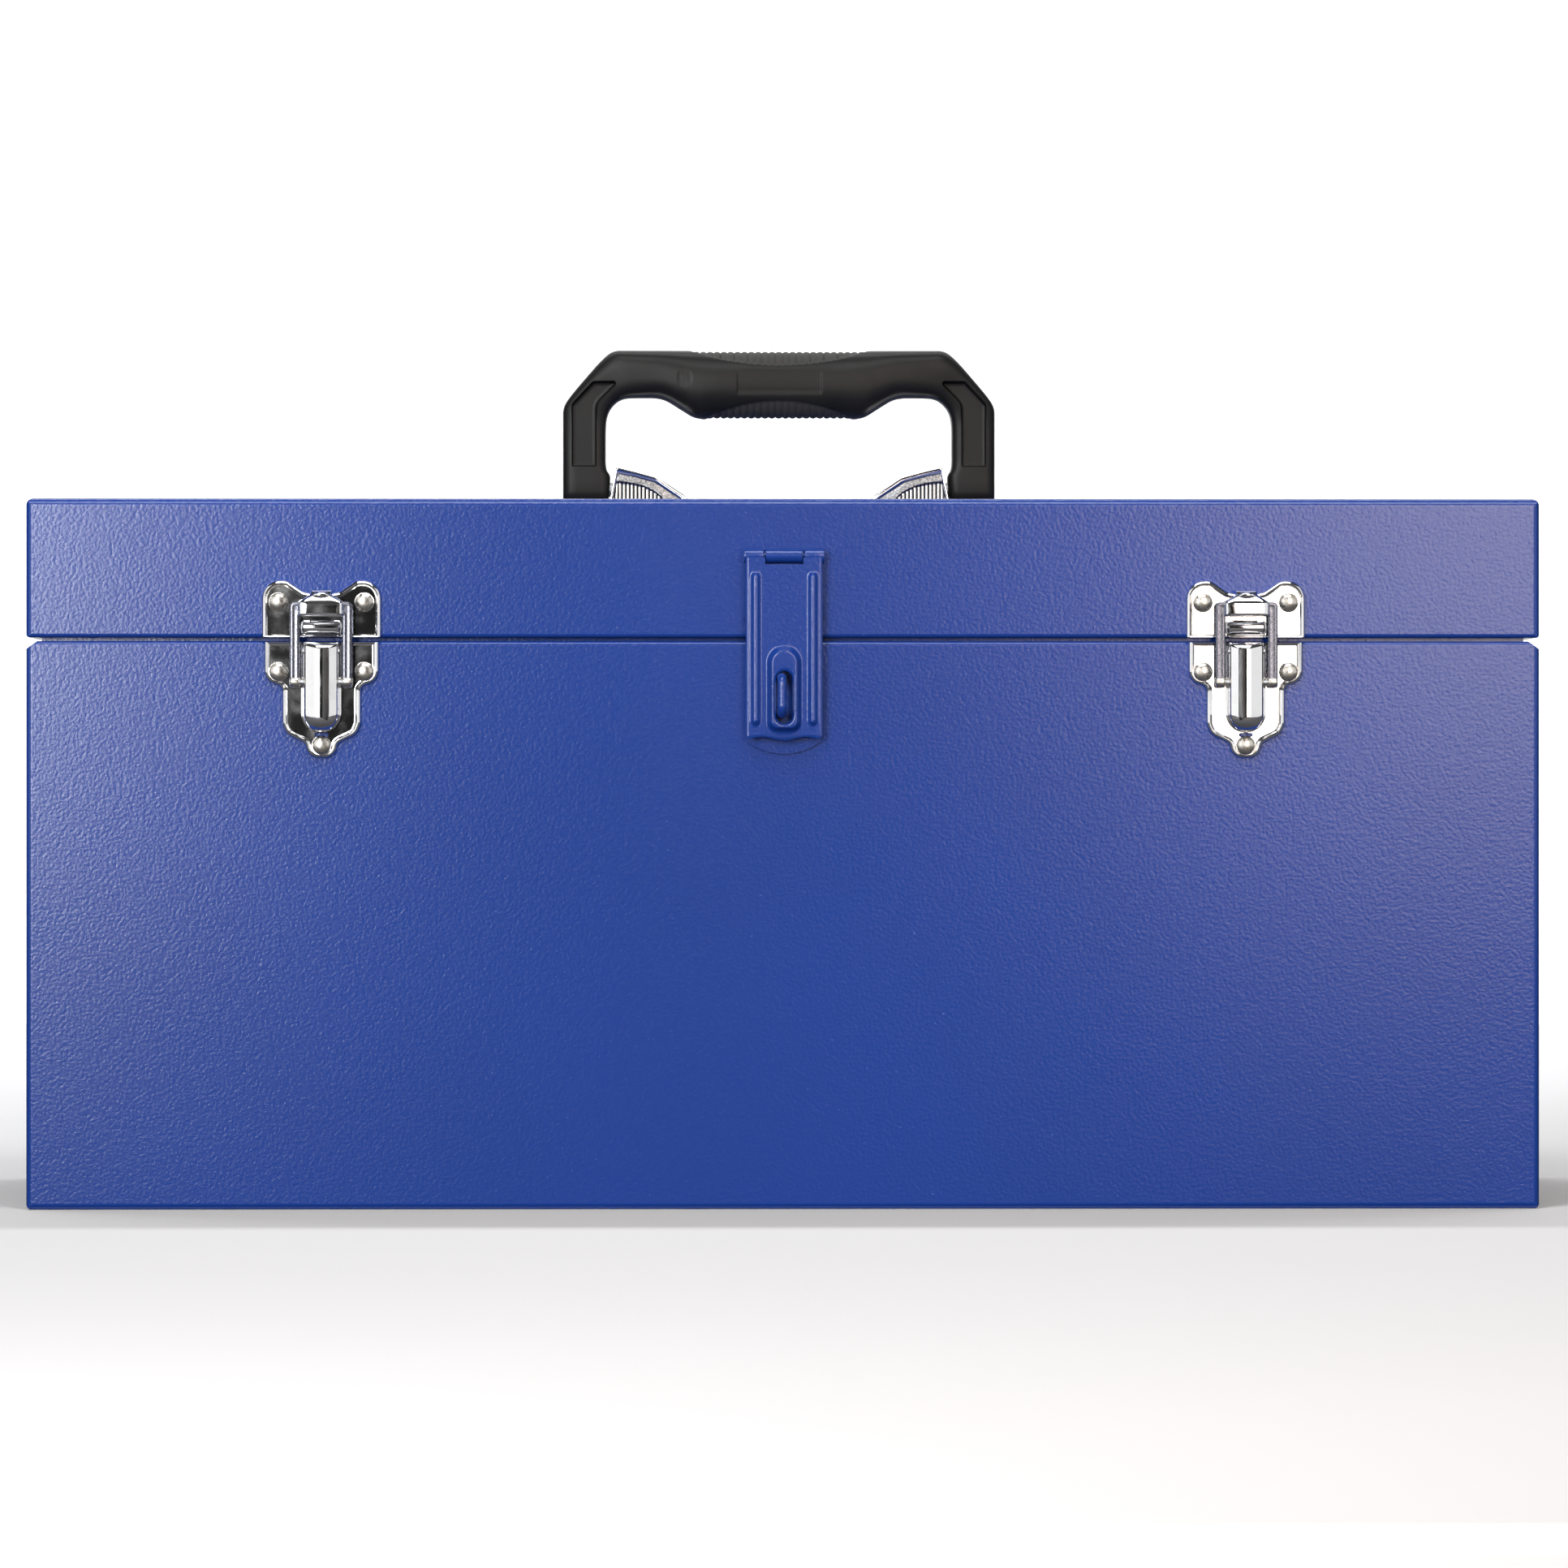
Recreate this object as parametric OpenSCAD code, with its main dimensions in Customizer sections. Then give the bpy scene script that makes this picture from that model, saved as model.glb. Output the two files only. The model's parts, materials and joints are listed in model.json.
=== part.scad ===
// Portable sheet-steel tool box: a one-piece hinged lid, two draw latches,
// a padlock hasp between them, a folding grip and a lift-out tray.
// Millimetres. The box stands on Z = 0 with the middle of its base at the
// origin. The front wall faces -Y and +Z is up.

/* [Box] */
// Width over the end panels
box_w = 508; // [450:1:580]
// Depth over the front and rear walls
box_d = 216; // [190:1:250]
// Height of the closed box to the top of the lid
box_h = 238.5; // [230:0.5:270]
// Height of the lid
lid_h = 46.7; // [46:0.1:54]
// Seam between the lid and the body
seam = 1.2; // [0.8:0.1:1.6]
// Thickness of the sheet steel
sheet = 1; // [0.8:0.1:1.2]
// Outside radius of the upright and bottom bends
bend_r = 2.1; // [1.8:0.1:2.6]
// Outside radius of the bend round the lid's top
lid_top_r = 2.7; // [2:0.1:4]

/* [Hinge] */
// Number of knuckles along the rear hinge
knuckle_count = 22; // [10:2:30]
// Outside radius of a hinge knuckle
knuckle_r = 2.6; // [2.2:0.1:2.8]
// Height of each hinge leaf
leaf_h = 18; // [14:0.5:24]

/* [Latches] */
// Distance of each latch from the middle of the box
latch_x = 155; // [110:1:190]
// Half width of a latch's base plate
base_half = 19.2; // [18.5:0.1:21]
// Half width of a lever's cap
cap_half = 6.4; // [6:0.1:6.6]
// Length of a lever below its pivot
cap_drop = 27.2; // [25:0.1:28]

/* [Hasp] */
// Half width of the hasp's strap
strap_half = 12.8; // [12:0.1:14]
// Height of the strap's pin above the seam
strap_pin_y = 28; // [26:0.1:30]
// Length of the strap below its pin
strap_drop = 61.3; // [58:0.1:64]

/* [Handle] */
// Half width of the grip over its legs
grip_half = 75.4; // [70:0.1:90]
// Height of the grip's top above the lid
grip_top = 55.5; // [50:0.5:60]
// Radius of the grip's round bar
grip_r = 11.95; // [10:0.05:13]
// Height of the grip's pivots above the lid
pivot_up = 7; // [6.9:0.1:8]

/* [Tray] */
// Length of the lift-out tray
tray_w = 488; // [420:1:490]
// Depth of the lift-out tray from front to rear
tray_d = 192; // [150:1:196]
// Height of the tray's floor above the table
tray_z = 148; // [120:1:150]
// Height of the tray's walls
tray_h = 38; // [30:1:40]

/* [Hidden] */
$fn = 48;

// Colours
paint = [0.18, 0.28, 0.59];
chrome = [0.80, 0.81, 0.83];
plastic = [0.07, 0.07, 0.08];
plain_steel = [0.55, 0.56, 0.58];

// The box's faces and levels
half_w = box_w / 2;
half_d = box_d / 2;
lid_z = box_h - lid_h;
rim_z = lid_z - seam;
seam_z = (lid_z + rim_z) / 2;
// Where the wrapped walls end and the end panels begin
wrap_half = half_w - bend_r;
// Rim of the body: a flange turned inward, then a lip up into the lid
flange_in = 5;
lip_up = 6;
rim_r = 1.5;
// Underside of the lid: a return turned inward
return_in = 4.4;
lid_low_r = 1.3;
// Slant that takes off the top corners of the body's ends
corner_cut = [3.8, 2.7];
// Tabs of the end panels, welded inside the wrapped walls
tab_w = 12;
tab_end_gap = 5;

// Rivets and the play in their holes
play = 0.05;
shank_r = 1.6;
hole_r = shank_r + play;
dome_head_r = 3.3;
dome_head_h = 1.8;
flat_head_h = 1;
tail_r = 2.6;
tail_h = 0.9;

// Rear hinge
hinge_y = half_d + knuckle_r + 0.4;
hinge_half = half_w - 12;
knuckle_pitch = 2 * hinge_half / knuckle_count;
knuckle_gap = 0.4;
hinge_pin_r = 1.25;
leaf_t = 1;
leaf_root = 0.8;
leaf_notch = knuckle_r + 0.4;
hinge_rivets = 6;
hinge_rivet_pitch = 2 * (hinge_half - 20) / (hinge_rivets - 1);
leaf_rivet_y = 0.62 * leaf_h;
knuckle_lap = 0.5;

// Latch, in the frame of its seat: X across, Y up from the seam, Z outward
plate_t = 1.4;
base_top = -1;
base_wide_y = -9.9;
base_corner_r = 5;
waist_half = base_half - 6;
waist_y = -28.1;
waist_r = 5.5;
lobe_y = -35.2;
lobe_r = 4.5;
base_rivets = [[-14.4, -10.9], [14.4, -10.9], [0, -35.6]];
base_slot = [4.7, 2];
base_slot_low = -32.9;
lever_pivot = [5, -4.1];
lever_end_r = 3.1;
lever_back = 2;
cap_wall = 0.8;
cap_shoulder_r = 3;
cap_skin_end = 60;
cap_tip_y = lever_pivot.y - cap_drop;
link_pivot = [4.8, -14.4];
latch_pin_r = 0.9;
ear_in = 3.6;
ear_out = 4.6;
ear_r = 1.6;
link_in = cap_half + 0.8;
link_out = 10.55;
link_back = 4.9;
link_t = 1.2;
link_knob_r = 1.9;
link_shoulder_y = 10.65;
hood = [4.2, 12.15];
hood_r = 4.35;
hood_wall = 0.9;
hood_back = 3.95;
nub = [7.4, 14.4];
nub_r = 1.3;
strike_t = 1.2;
strike_half = 20;
strike_low = 0.8;
strike_lobe = [13.2, 12.8];
strike_lobe_r = strike_half - strike_lobe.x;
strike_valley = [3.5, 15.6];
strike_slope = [12.2, 19.5];
strike_rivet = [14.4, 12.4];
roll_y = 3.4;
roll_r = 2.1;
roll_half = 6.9;
hook_y = 11.5;
hook_r = 2.3;
hook_half = 4.5;

// Hasp, in the same kind of frame
hasp_plate_t = 1.2;
strap_back = 4.2;
strap_t = 1.2;
strap_pin_d = 2.8;
strap_pin_r = 1.1;
strap_knuckle_r = 2.5;
strap_window_half = 6.5;
strap_window_low = strap_pin_y - 2.8;
strap_low = strap_pin_y - strap_drop;
strap_sag = 1.4;
rib_x = 9.6;
rib_r = 1.8;
rib_d = 4.9;
rib_low = -29.2;
rib_high = 22.5;
boss_half = 5.7;
boss_low = -31.1;
boss_high = -2.3;
boss_corner_r = 2.2;
boss_front = 8.2;
boss_inside = 7;
slot_half = 2.75;
slot_low = -28.4;
slot_high = -10.6;
staple_x = -0.9;
staple_r = 1.5;
staple_bend = 2.5;
staple_low = -25;
staple_high = -12.9;
staple_reach = 14.2;
staple_plate_half = 12.4;
staple_plate_low = -34.1;
staple_plate_sag = 4.3;
staple_plate_high = -1.2;
hasp_leaf_low = 7;
hasp_rivet = [8.5, 14];
staple_rivet = [8.5, -6];

// Grip and its brackets, heights above the table
pivot_z = box_h + pivot_up;
grip_z = box_h + grip_top;
bar_z = grip_z - grip_r;
leg_w = 15;
leg_half_y = 6.5;
leg_inner = grip_half - leg_w;
grip_pin_r = 2.5;
grip_bore_deep = 11;
pocket_deep = 1.6;
grip_under = grip_z - 23.9;
shoulder_under = grip_z - 16.5;
bracket_out = leg_inner - 0.8;
bracket_half_y = 13;
bracket_wall = 1.2;
bracket_top = 14.8;
bracket_rivet = [bracket_out - 17, 8.4];
backing_t = 1.2;

// Tray and its ledges
tray_half = tray_w / 2;
tray_half_d = tray_d / 2;
ledge_reach = 16;
ledge_t = 1.5;
ledge_drop = 14;
ledge_half_y = 92;
divider_h = 34;
divider_half = tray_w / 2 - 1.2;
strap_handle_half = 60;
strap_handle_top = 62;
strap_handle_t = 2;
strap_handle_half_y = 8;
handle_rivet_x = strap_handle_half - 6;
handle_rivet_z = tray_z + 20;

// ---- Frames and helpers ----

// A flat outline in Y and Z, run along X
module run_x(length) {
    rotate([90, 0, 90]) linear_extrude(length, center = true) children();
}

// A flat outline in X and Z, run along Y
module run_y(length) {
    rotate([90, 0, 0]) linear_extrude(length, center = true) children();
}

// Places children on the front wall: X across, Y up from the seam, Z outward
module on_front(x) {
    translate([x, -half_d, seam_z]) rotate([90, 0, 0]) children();
}

// Places children on the rear wall: X across, Y up from the seam, Z outward
module on_rear(x) {
    translate([x, half_d, seam_z]) rotate([90, 0, 180]) children();
}

// In a wall's frame: an outline in Z and Y, run across along X
module across(length) {
    rotate([0, -90, 0]) linear_extrude(length, center = true) children();
}

// In a wall's frame: an outline in X and Z, run up and down along Y
module upright(length) {
    rotate([90, 0, 0]) linear_extrude(length, center = true) children();
}

// In a wall's frame: a rod across at a place given as [outward, up]
module rod_across(place, r, length) {
    across(length) translate(place) circle(r);
}

// Rectangle between two corners with its own lower and upper corner radii
module round_rect(low, high, r_low, r_high) {
    size = high - low;
    union() {
        translate([low.x, low.y + r_low]) square([size.x, size.y - r_low - r_high]);
        translate([low.x + r_low, low.y]) square([size.x - 2 * r_low, r_low]);
        translate([low.x + r_high, high.y - r_high]) square([size.x - 2 * r_high, r_high]);
        for (x = [low.x + r_low, high.x - r_low]) {
            translate([x, low.y + r_low]) circle(r_low);
        }
        for (x = [low.x + r_high, high.x - r_high]) {
            translate([x, high.y - r_high]) circle(r_high);
        }
    }
}

// Points of an arc about c from angle a0 to a1
function arc(c, r, a0, a1, n) = [
    for (i = [0 : n]) c + r * [cos(a0 + (a1 - a0) * i / n), sin(a0 + (a1 - a0) * i / n)]
];

// Points of a curve from a to b that bends towards c
function bow(a, c, b, n) = [
    for (i = [0 : n]) let (t = i / n) (1 - t) * (1 - t) * a + 2 * t * (1 - t) * c + t * t * b
];

// Rivet seated at Z = 0 with a domed head outward and a flat tail inside
module domed_rivet(grip) {
    dome_r = (dome_head_r * dome_head_r + dome_head_h * dome_head_h) / (2 * dome_head_h);
    union() {
        intersection() {
            translate([0, 0, dome_head_h - dome_r]) sphere(dome_r);
            cylinder(h = 2 * dome_head_h, r = 2 * dome_head_r);
        }
        rivet_shank(grip);
    }
}

// Rivet seated at Z = 0 with a flat head outward and a flat tail inside
module flat_rivet(grip) {
    union() {
        cylinder(h = flat_head_h, r = tail_r);
        rivet_shank(grip);
    }
}

module rivet_shank(grip) {
    translate([0, 0, -grip]) cylinder(h = grip, r = shank_r);
    translate([0, 0, -grip - tail_h]) cylinder(h = tail_h, r = tail_r);
}

module rivet_hole() {
    translate([0, 0, -10]) cylinder(h = 20, r = hole_r);
}

// ---- Body ----

// Inward offset of the body's slanted corner by the distance inset
function inner_cut(inset) =
    corner_cut * (1 + inset * (norm(corner_cut) - corner_cut.x - corner_cut.y)
        / (corner_cut.x * corner_cut.y));

// Front view of the body, taken in by inset
module body_front(inset) {
    w = half_w - inset;
    r = bend_r - inset;
    top = rim_z - inset;
    cut = inner_cut(inset);
    union() {
        polygon([
            [-w, inset + r], [w, inset + r], [w, top - cut.y],
            [w - cut.x, top], [cut.x - w, top], [-w, top - cut.y]
        ]);
        translate([r - w, inset]) square([2 * (w - r), r]);
        for (side = [-1, 1]) {
            translate([side * (w - r), inset + r]) circle(r);
        }
    }
}

// Side view of the body, taken in by inset
module body_side(inset) {
    round_rect([inset - half_d, inset], [half_d - inset, rim_z - inset],
        bend_r - inset, rim_r - inset);
}

// Top view of the box, taken in by inset
module plan(inset) {
    round_rect([inset - half_w, inset - half_d], [half_w - inset, half_d - inset],
        bend_r - inset, bend_r - inset);
}

module body_form(inset) {
    intersection() {
        run_y(box_d) body_front(inset);
        run_x(box_w) body_side(inset);
        linear_extrude(rim_z) plan(inset);
    }
}

module front_holes() {
    for (side = [-1, 1], p = base_rivets) {
        on_front(side * latch_x) translate([p.x, p.y, 0]) rivet_hole();
    }
    for (side = [-1, 1]) {
        on_front(0) translate([side * staple_rivet.x, staple_rivet.y, 0]) rivet_hole();
    }
    for (y = [staple_low, staple_high]) {
        on_front(0) translate([staple_x, y, -5]) cylinder(h = 10, r = staple_r + play);
    }
}

// Front wall, bottom and rear wall, bent from one sheet
module body_shell() {
    rim_in = half_d - flange_in;
    lip_half = half_w - flange_in - sheet;
    color(paint) difference() {
        intersection() {
            union() {
                run_x(2 * wrap_half) difference() {
                    body_side(0);
                    body_side(sheet);
                    translate([sheet - rim_in, rim_z - 3]) square([2 * (rim_in - sheet), 6]);
                }
                for (y = [-rim_in, rim_in - sheet]) {
                    translate([-lip_half, y, rim_z - sheet])
                        cube([2 * lip_half, sheet, sheet + lip_up]);
                }
            }
            union() {
                run_y(box_d) body_front(0);
                translate([-half_w, -half_d, rim_z]) cube([box_w, box_d, 20]);
            }
        }
        front_holes();
        hinge_leaf_holes(-1);
    }
}

// One end of the body, with its tabs and its part of the rim
module end_panel(side) {
    rim_in = half_w - flange_in;
    color(paint) mirror([side < 0 ? 1 : 0, 0, 0]) union() {
        intersection() {
            difference() {
                body_form(0);
                body_form(sheet);
            }
            union() {
                translate([wrap_half, -box_d, -10]) cube([20, 2 * box_d, rim_z + 20]);
                translate([rim_in - sheet, flange_in - half_d, rim_z - 5])
                    cube([20, box_d - 2 * flange_in, 10]);
            }
        }
        translate([rim_in - sheet, flange_in - half_d, rim_z - sheet])
            cube([sheet, box_d - 2 * flange_in, sheet + lip_up]);
        for (face = [-1, 1]) {
            translate([wrap_half - tab_w, face * (half_d - 1.5 * sheet) - sheet / 2, tab_end_gap])
                cube([tab_w + bend_r - sheet / 2, sheet, rim_z - 2 * tab_end_gap]);
        }
        translate([wrap_half - tab_w, tab_end_gap - half_d, sheet])
            cube([tab_w + bend_r - sheet / 2, box_d - 2 * tab_end_gap, sheet]);
    }
}

module left_end_panel() { end_panel(-1); }
module right_end_panel() { end_panel(1); }

// Angle along one end that carries the tray
module tray_ledge(side) {
    wall = half_w - sheet;
    color(paint) mirror([side < 0 ? 1 : 0, 0, 0]) union() {
        translate([wall - ledge_reach, -ledge_half_y, tray_z - ledge_t])
            cube([ledge_reach, 2 * ledge_half_y, ledge_t]);
        translate([wall - ledge_t, -ledge_half_y, tray_z - ledge_drop])
            cube([ledge_t, 2 * ledge_half_y, ledge_drop]);
    }
}

module left_tray_ledge() { tray_ledge(-1); }
module right_tray_ledge() { tray_ledge(1); }

// ---- Rear hinge ----

module hinge_leaf_holes(up) {
    for (i = [0 : hinge_rivets - 1]) {
        on_rear((i - (hinge_rivets - 1) / 2) * hinge_rivet_pitch)
            translate([0, up * leaf_rivet_y, 0]) rivet_hole();
    }
}

// Leaf that stands above (1) or below (-1) the pin and owns every other knuckle
module hinge_leaf(up, first) {
    length = knuckle_pitch - knuckle_gap;
    color(paint) difference() {
        union() {
            translate([-hinge_half, half_d, seam_z + (up > 0 ? leaf_notch : -leaf_h)])
                cube([2 * hinge_half, leaf_t, leaf_h - leaf_notch]);
            for (i = [first : 2 : knuckle_count - 1]) {
                x = -hinge_half + knuckle_pitch * (i + 0.5);
                low = up > 0 ? leaf_root : -leaf_notch - knuckle_lap;
                translate([x - length / 2, half_d, seam_z + low])
                    cube([length, leaf_t, leaf_notch + knuckle_lap - leaf_root]);
                translate([x - length / 2, hinge_y, seam_z])
                    rotate([0, 90, 0]) cylinder(h = length, r = knuckle_r);
            }
        }
        translate([-half_w, hinge_y, seam_z])
            rotate([0, 90, 0]) cylinder(h = box_w, r = hinge_pin_r + play);
        hinge_leaf_holes(up);
    }
}

module hinge_body_leaf() { hinge_leaf(-1, 0); }
module hinge_lid_leaf() { hinge_leaf(1, 1); }

module hinge_pin() {
    head = 1.2;
    head_r = 2;
    color(plain_steel) translate([-hinge_half, hinge_y, seam_z]) rotate([0, 90, 0]) union() {
        cylinder(h = 2 * hinge_half, r = hinge_pin_r);
        translate([0, 0, knuckle_gap / 2 - head]) cylinder(h = head, r = head_r);
        translate([0, 0, 2 * hinge_half - knuckle_gap / 2]) cylinder(h = head, r = head_r);
    }
}

module hinge_rivet_row(up) {
    color(paint) for (i = [0 : hinge_rivets - 1]) {
        on_rear((i - (hinge_rivets - 1) / 2) * hinge_rivet_pitch)
            translate([0, up * leaf_rivet_y, leaf_t]) flat_rivet(leaf_t + sheet);
    }
}

module hinge_body_rivets() { hinge_rivet_row(-1); }
module hinge_lid_rivets() { hinge_rivet_row(1); }

// ---- Lid ----

module lid_front(inset) {
    round_rect([inset - half_w, lid_z + inset], [half_w - inset, box_h - inset],
        lid_low_r - inset, lid_top_r - inset);
}

module lid_side(inset) {
    round_rect([inset - half_d, lid_z + inset], [half_d - inset, box_h - inset],
        lid_low_r - inset, lid_top_r - inset);
}

module lid_form(inset) {
    intersection() {
        run_y(box_d) lid_front(inset);
        run_x(box_w) lid_side(inset);
        translate([0, 0, lid_z - 1]) linear_extrude(lid_h + 2) plan(inset);
    }
}

module bracket_hole(side, face) {
    translate([side * bracket_rivet.x, face * bracket_rivet.y, box_h]) rivet_hole();
}

// Front wall, top and rear wall of the lid, bent from one sheet
module lid_shell() {
    mouth = half_d - return_in;
    color(paint) difference() {
        run_x(2 * wrap_half) difference() {
            lid_side(0);
            lid_side(sheet);
            translate([-mouth, lid_z - 3]) square([2 * mouth, 6]);
        }
        for (side = [-1, 1], s = [-1, 1]) {
            on_front(side * latch_x) translate([s * strike_rivet.x, strike_rivet.y, 0]) rivet_hole();
        }
        for (side = [-1, 1]) {
            on_front(0) translate([side * hasp_rivet.x, hasp_rivet.y, 0]) rivet_hole();
        }
        for (side = [-1, 1], face = [-1, 1]) {
            bracket_hole(side, face);
        }
        hinge_leaf_holes(1);
    }
}

// One end of the lid, with its tabs and its part of the return
module lid_end(side) {
    mouth = half_w - return_in;
    tab = tab_w + bend_r - sheet / 2;
    color(paint) mirror([side < 0 ? 1 : 0, 0, 0]) union() {
        intersection() {
            difference() {
                lid_form(0);
                lid_form(sheet);
            }
            union() {
                translate([wrap_half, -box_d, lid_z - 5]) cube([20, 2 * box_d, lid_h + 10]);
                translate([mouth, return_in - half_d, lid_z - 5])
                    cube([20, box_d - 2 * return_in, 10]);
            }
        }
        for (face = [-1, 1]) {
            translate([wrap_half - tab_w, face * (half_d - 1.5 * sheet) - sheet / 2,
                lid_z + tab_end_gap])
                cube([tab, sheet, lid_h - 2 * tab_end_gap]);
        }
        translate([wrap_half - tab_w, tab_end_gap - half_d, box_h - 2 * sheet])
            cube([tab, box_d - 2 * tab_end_gap, sheet]);
    }
}

module lid_left_end() { lid_end(-1); }
module lid_right_end() { lid_end(1); }

// ---- Latches ----

module base_outline() {
    wide = base_half - base_corner_r;
    narrow = waist_half - waist_r;
    union() {
        translate([-base_half, base_wide_y]) square([2 * base_half, base_top - base_wide_y]);
        translate([-wide, base_wide_y - base_corner_r]) square([2 * wide, base_corner_r]);
        translate([-waist_half, waist_y])
            square([2 * waist_half, base_wide_y - base_corner_r - waist_y]);
        translate([-narrow, waist_y - waist_r]) square([2 * narrow, waist_r]);
        for (side = [-1, 1]) {
            translate([side * wide, base_wide_y]) circle(base_corner_r);
            translate([side * narrow, waist_y]) circle(waist_r);
        }
        translate([0, lobe_y]) circle(lobe_r);
    }
}

// Ear of the base plate that holds the lever's pin, as seen from the side
module ear_outline() {
    back_angle = 205;
    root_d = -4;
    root_high = -3.2;
    root_low = -6.9;
    translate(lever_pivot) union() {
        circle(ear_r);
        polygon([
            [0, -ear_r], ear_r * [cos(back_angle), sin(back_angle)],
            [root_d, root_high], [root_d, root_low]
        ]);
    }
}

module latch_base(x) {
    color(chrome) on_front(x) difference() {
        union() {
            linear_extrude(plate_t) base_outline();
            for (side = [-1, 1]) {
                translate([side * (ear_in + ear_out) / 2, 0, 0])
                    across(ear_out - ear_in) ear_outline();
            }
        }
        for (p = base_rivets) {
            translate([p.x, p.y, 0]) rivet_hole();
        }
        rod_across(lever_pivot, latch_pin_r + play, 2 * base_half);
        translate([-base_slot.x / 2, base_slot_low, -1]) cube([base_slot.x, base_slot.y, 2 + plate_t]);
    }
}

module left_latch_base() { latch_base(-latch_x); }
module right_latch_base() { latch_base(latch_x); }

module latch_base_rivets() {
    color(chrome) for (side = [-1, 1], p = base_rivets) {
        on_front(side * latch_x) translate([p.x, p.y, plate_t]) domed_rivet(plate_t + sheet);
    }
}

module lever_pin(x) {
    color(plain_steel) on_front(x) rod_across(lever_pivot, latch_pin_r, 2 * cap_half - 0.4);
}

module left_lever_pin() { lever_pin(-latch_x); }
module right_lever_pin() { lever_pin(latch_x); }

// Drawn cap of a lever, taken in by inset and open at its back
module cap_form(inset) {
    half = cap_half - inset;
    front = lever_pivot.x + lever_end_r - inset;
    back = lever_back - 2 * inset;
    tip_round_y = cap_tip_y + cap_half;
    intersection() {
        across(2 * half) union() {
            translate([back, cap_tip_y + inset])
                square([front - back, lever_pivot.y - cap_tip_y - inset]);
            translate(lever_pivot) circle(lever_end_r - inset);
        }
        linear_extrude(front + 1) union() {
            translate([-half, tip_round_y]) square([2 * half, 5 - tip_round_y]);
            translate([0, tip_round_y]) circle(half);
        }
        upright(100) translate([-half, 0]) round_rect([0, 0], [2 * half, front], 0.1,
            cap_shoulder_r - inset);
    }
}

module lever(x) {
    color(chrome) on_front(x) difference() {
        cap_form(0);
        cap_form(cap_wall);
        across(2 * (cap_half - cap_wall)) translate(lever_pivot) rotate(cap_skin_end)
            translate([-20, 0]) square([40, 20]);
        rod_across(lever_pivot, latch_pin_r + play, 30);
        rod_across(link_pivot, latch_pin_r + play, 30);
    }
}

module left_lever() { lever(-latch_x); }
module right_lever() { lever(latch_x); }

module link_pin(x) {
    color(plain_steel) on_front(x) rod_across(link_pivot, latch_pin_r, 2 * link_out - 0.6);
}

module left_link_pin() { link_pin(-latch_x); }
module right_link_pin() { link_pin(latch_x); }

module link_arm() {
    shoulder_r = (link_out - link_in) / 2;
    bridge_in = cap_half - 0.6;
    bridge_out = link_in + 1;
    union() {
        translate([0, 0, link_back]) linear_extrude(link_t) union() {
            translate([link_in, link_pivot.y])
                square([link_out - link_in, link_shoulder_y - link_pivot.y]);
            translate([link_out - shoulder_r, link_shoulder_y]) circle(shoulder_r);
            translate([bridge_in, hood.y - hood_r]) square([bridge_out - bridge_in, hood_r]);
        }
        translate([(link_in + link_out) / 2, 0, 0])
            rod_across(link_pivot, link_knob_r, link_out - link_in);
    }
}

// Link with two arms and a hollow hood that covers the strike's hook
module link(x) {
    color(chrome) on_front(x) difference() {
        union() {
            link_arm();
            mirror([1, 0, 0]) link_arm();
            intersection() {
                rod_across(hood, hood_r, 2 * cap_half);
                translate([-20, -20, hood_back]) cube([40, 80, 20]);
            }
            translate([0, nub.y, nub.x]) sphere(nub_r);
        }
        rod_across(hood, hood_r - hood_wall, 2 * (cap_half - hood_wall));
        rod_across(link_pivot, latch_pin_r + play, 30);
    }
}

module left_link() { link(-latch_x); }
module right_link() { link(latch_x); }

module strike_outline() {
    union() {
        translate([-strike_half, strike_low])
            square([2 * strike_half, strike_lobe.y - strike_low]);
        polygon([
            [-strike_slope.x, strike_low], [strike_slope.x, strike_low], strike_slope,
            [strike_valley.x, strike_valley.y], [-strike_valley.x, strike_valley.y],
            [-strike_slope.x, strike_slope.y]
        ]);
        for (side = [-1, 1]) {
            translate([side * strike_lobe.x, strike_lobe.y]) circle(strike_lobe_r);
        }
    }
}

// Catch plate on the lid with a roll below and a hook behind the link's hood
module strike(x) {
    color(chrome) on_front(x) difference() {
        union() {
            linear_extrude(strike_t) strike_outline();
            intersection() {
                union() {
                    rod_across([strike_t, roll_y], roll_r, 2 * roll_half);
                    rod_across([strike_t, hook_y], hook_r, 2 * hook_half);
                }
                translate([-20, -20, strike_t / 2]) cube([40, 60, 20]);
            }
        }
        for (side = [-1, 1]) {
            translate([side * strike_rivet.x, strike_rivet.y, 0]) rivet_hole();
        }
    }
}

module left_strike() { strike(-latch_x); }
module right_strike() { strike(latch_x); }

module strike_rivets() {
    color(chrome) for (side = [-1, 1], s = [-1, 1]) {
        on_front(side * latch_x) translate([s * strike_rivet.x, strike_rivet.y, strike_t])
            domed_rivet(strike_t + sheet);
    }
}

// ---- Hasp ----

// Rectangle of the given half width with a bottom edge that sags in an arc
module sagging_plate(half, low, high, sag) {
    arc_r = (half * half + sag * sag) / (2 * sag);
    intersection() {
        translate([-half, low]) square([2 * half, high - low]);
        translate([0, low + arc_r]) circle(arc_r, $fn = 240);
    }
}

module staple_plate() {
    color(paint) on_front(0) difference() {
        linear_extrude(hasp_plate_t)
            sagging_plate(staple_plate_half, staple_plate_low - staple_plate_sag,
                staple_plate_high, staple_plate_sag);
        for (side = [-1, 1]) {
            translate([side * staple_rivet.x, staple_rivet.y, 0]) rivet_hole();
        }
        for (y = [staple_low, staple_high]) {
            translate([staple_x, y, -1]) cylinder(h = 5, r = staple_r + play);
        }
    }
}

module staple_plate_rivets() {
    color(paint) for (side = [-1, 1]) {
        on_front(0) translate([side * staple_rivet.x, staple_rivet.y, hasp_plate_t])
            flat_rivet(hasp_plate_t + sheet);
    }
}

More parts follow.
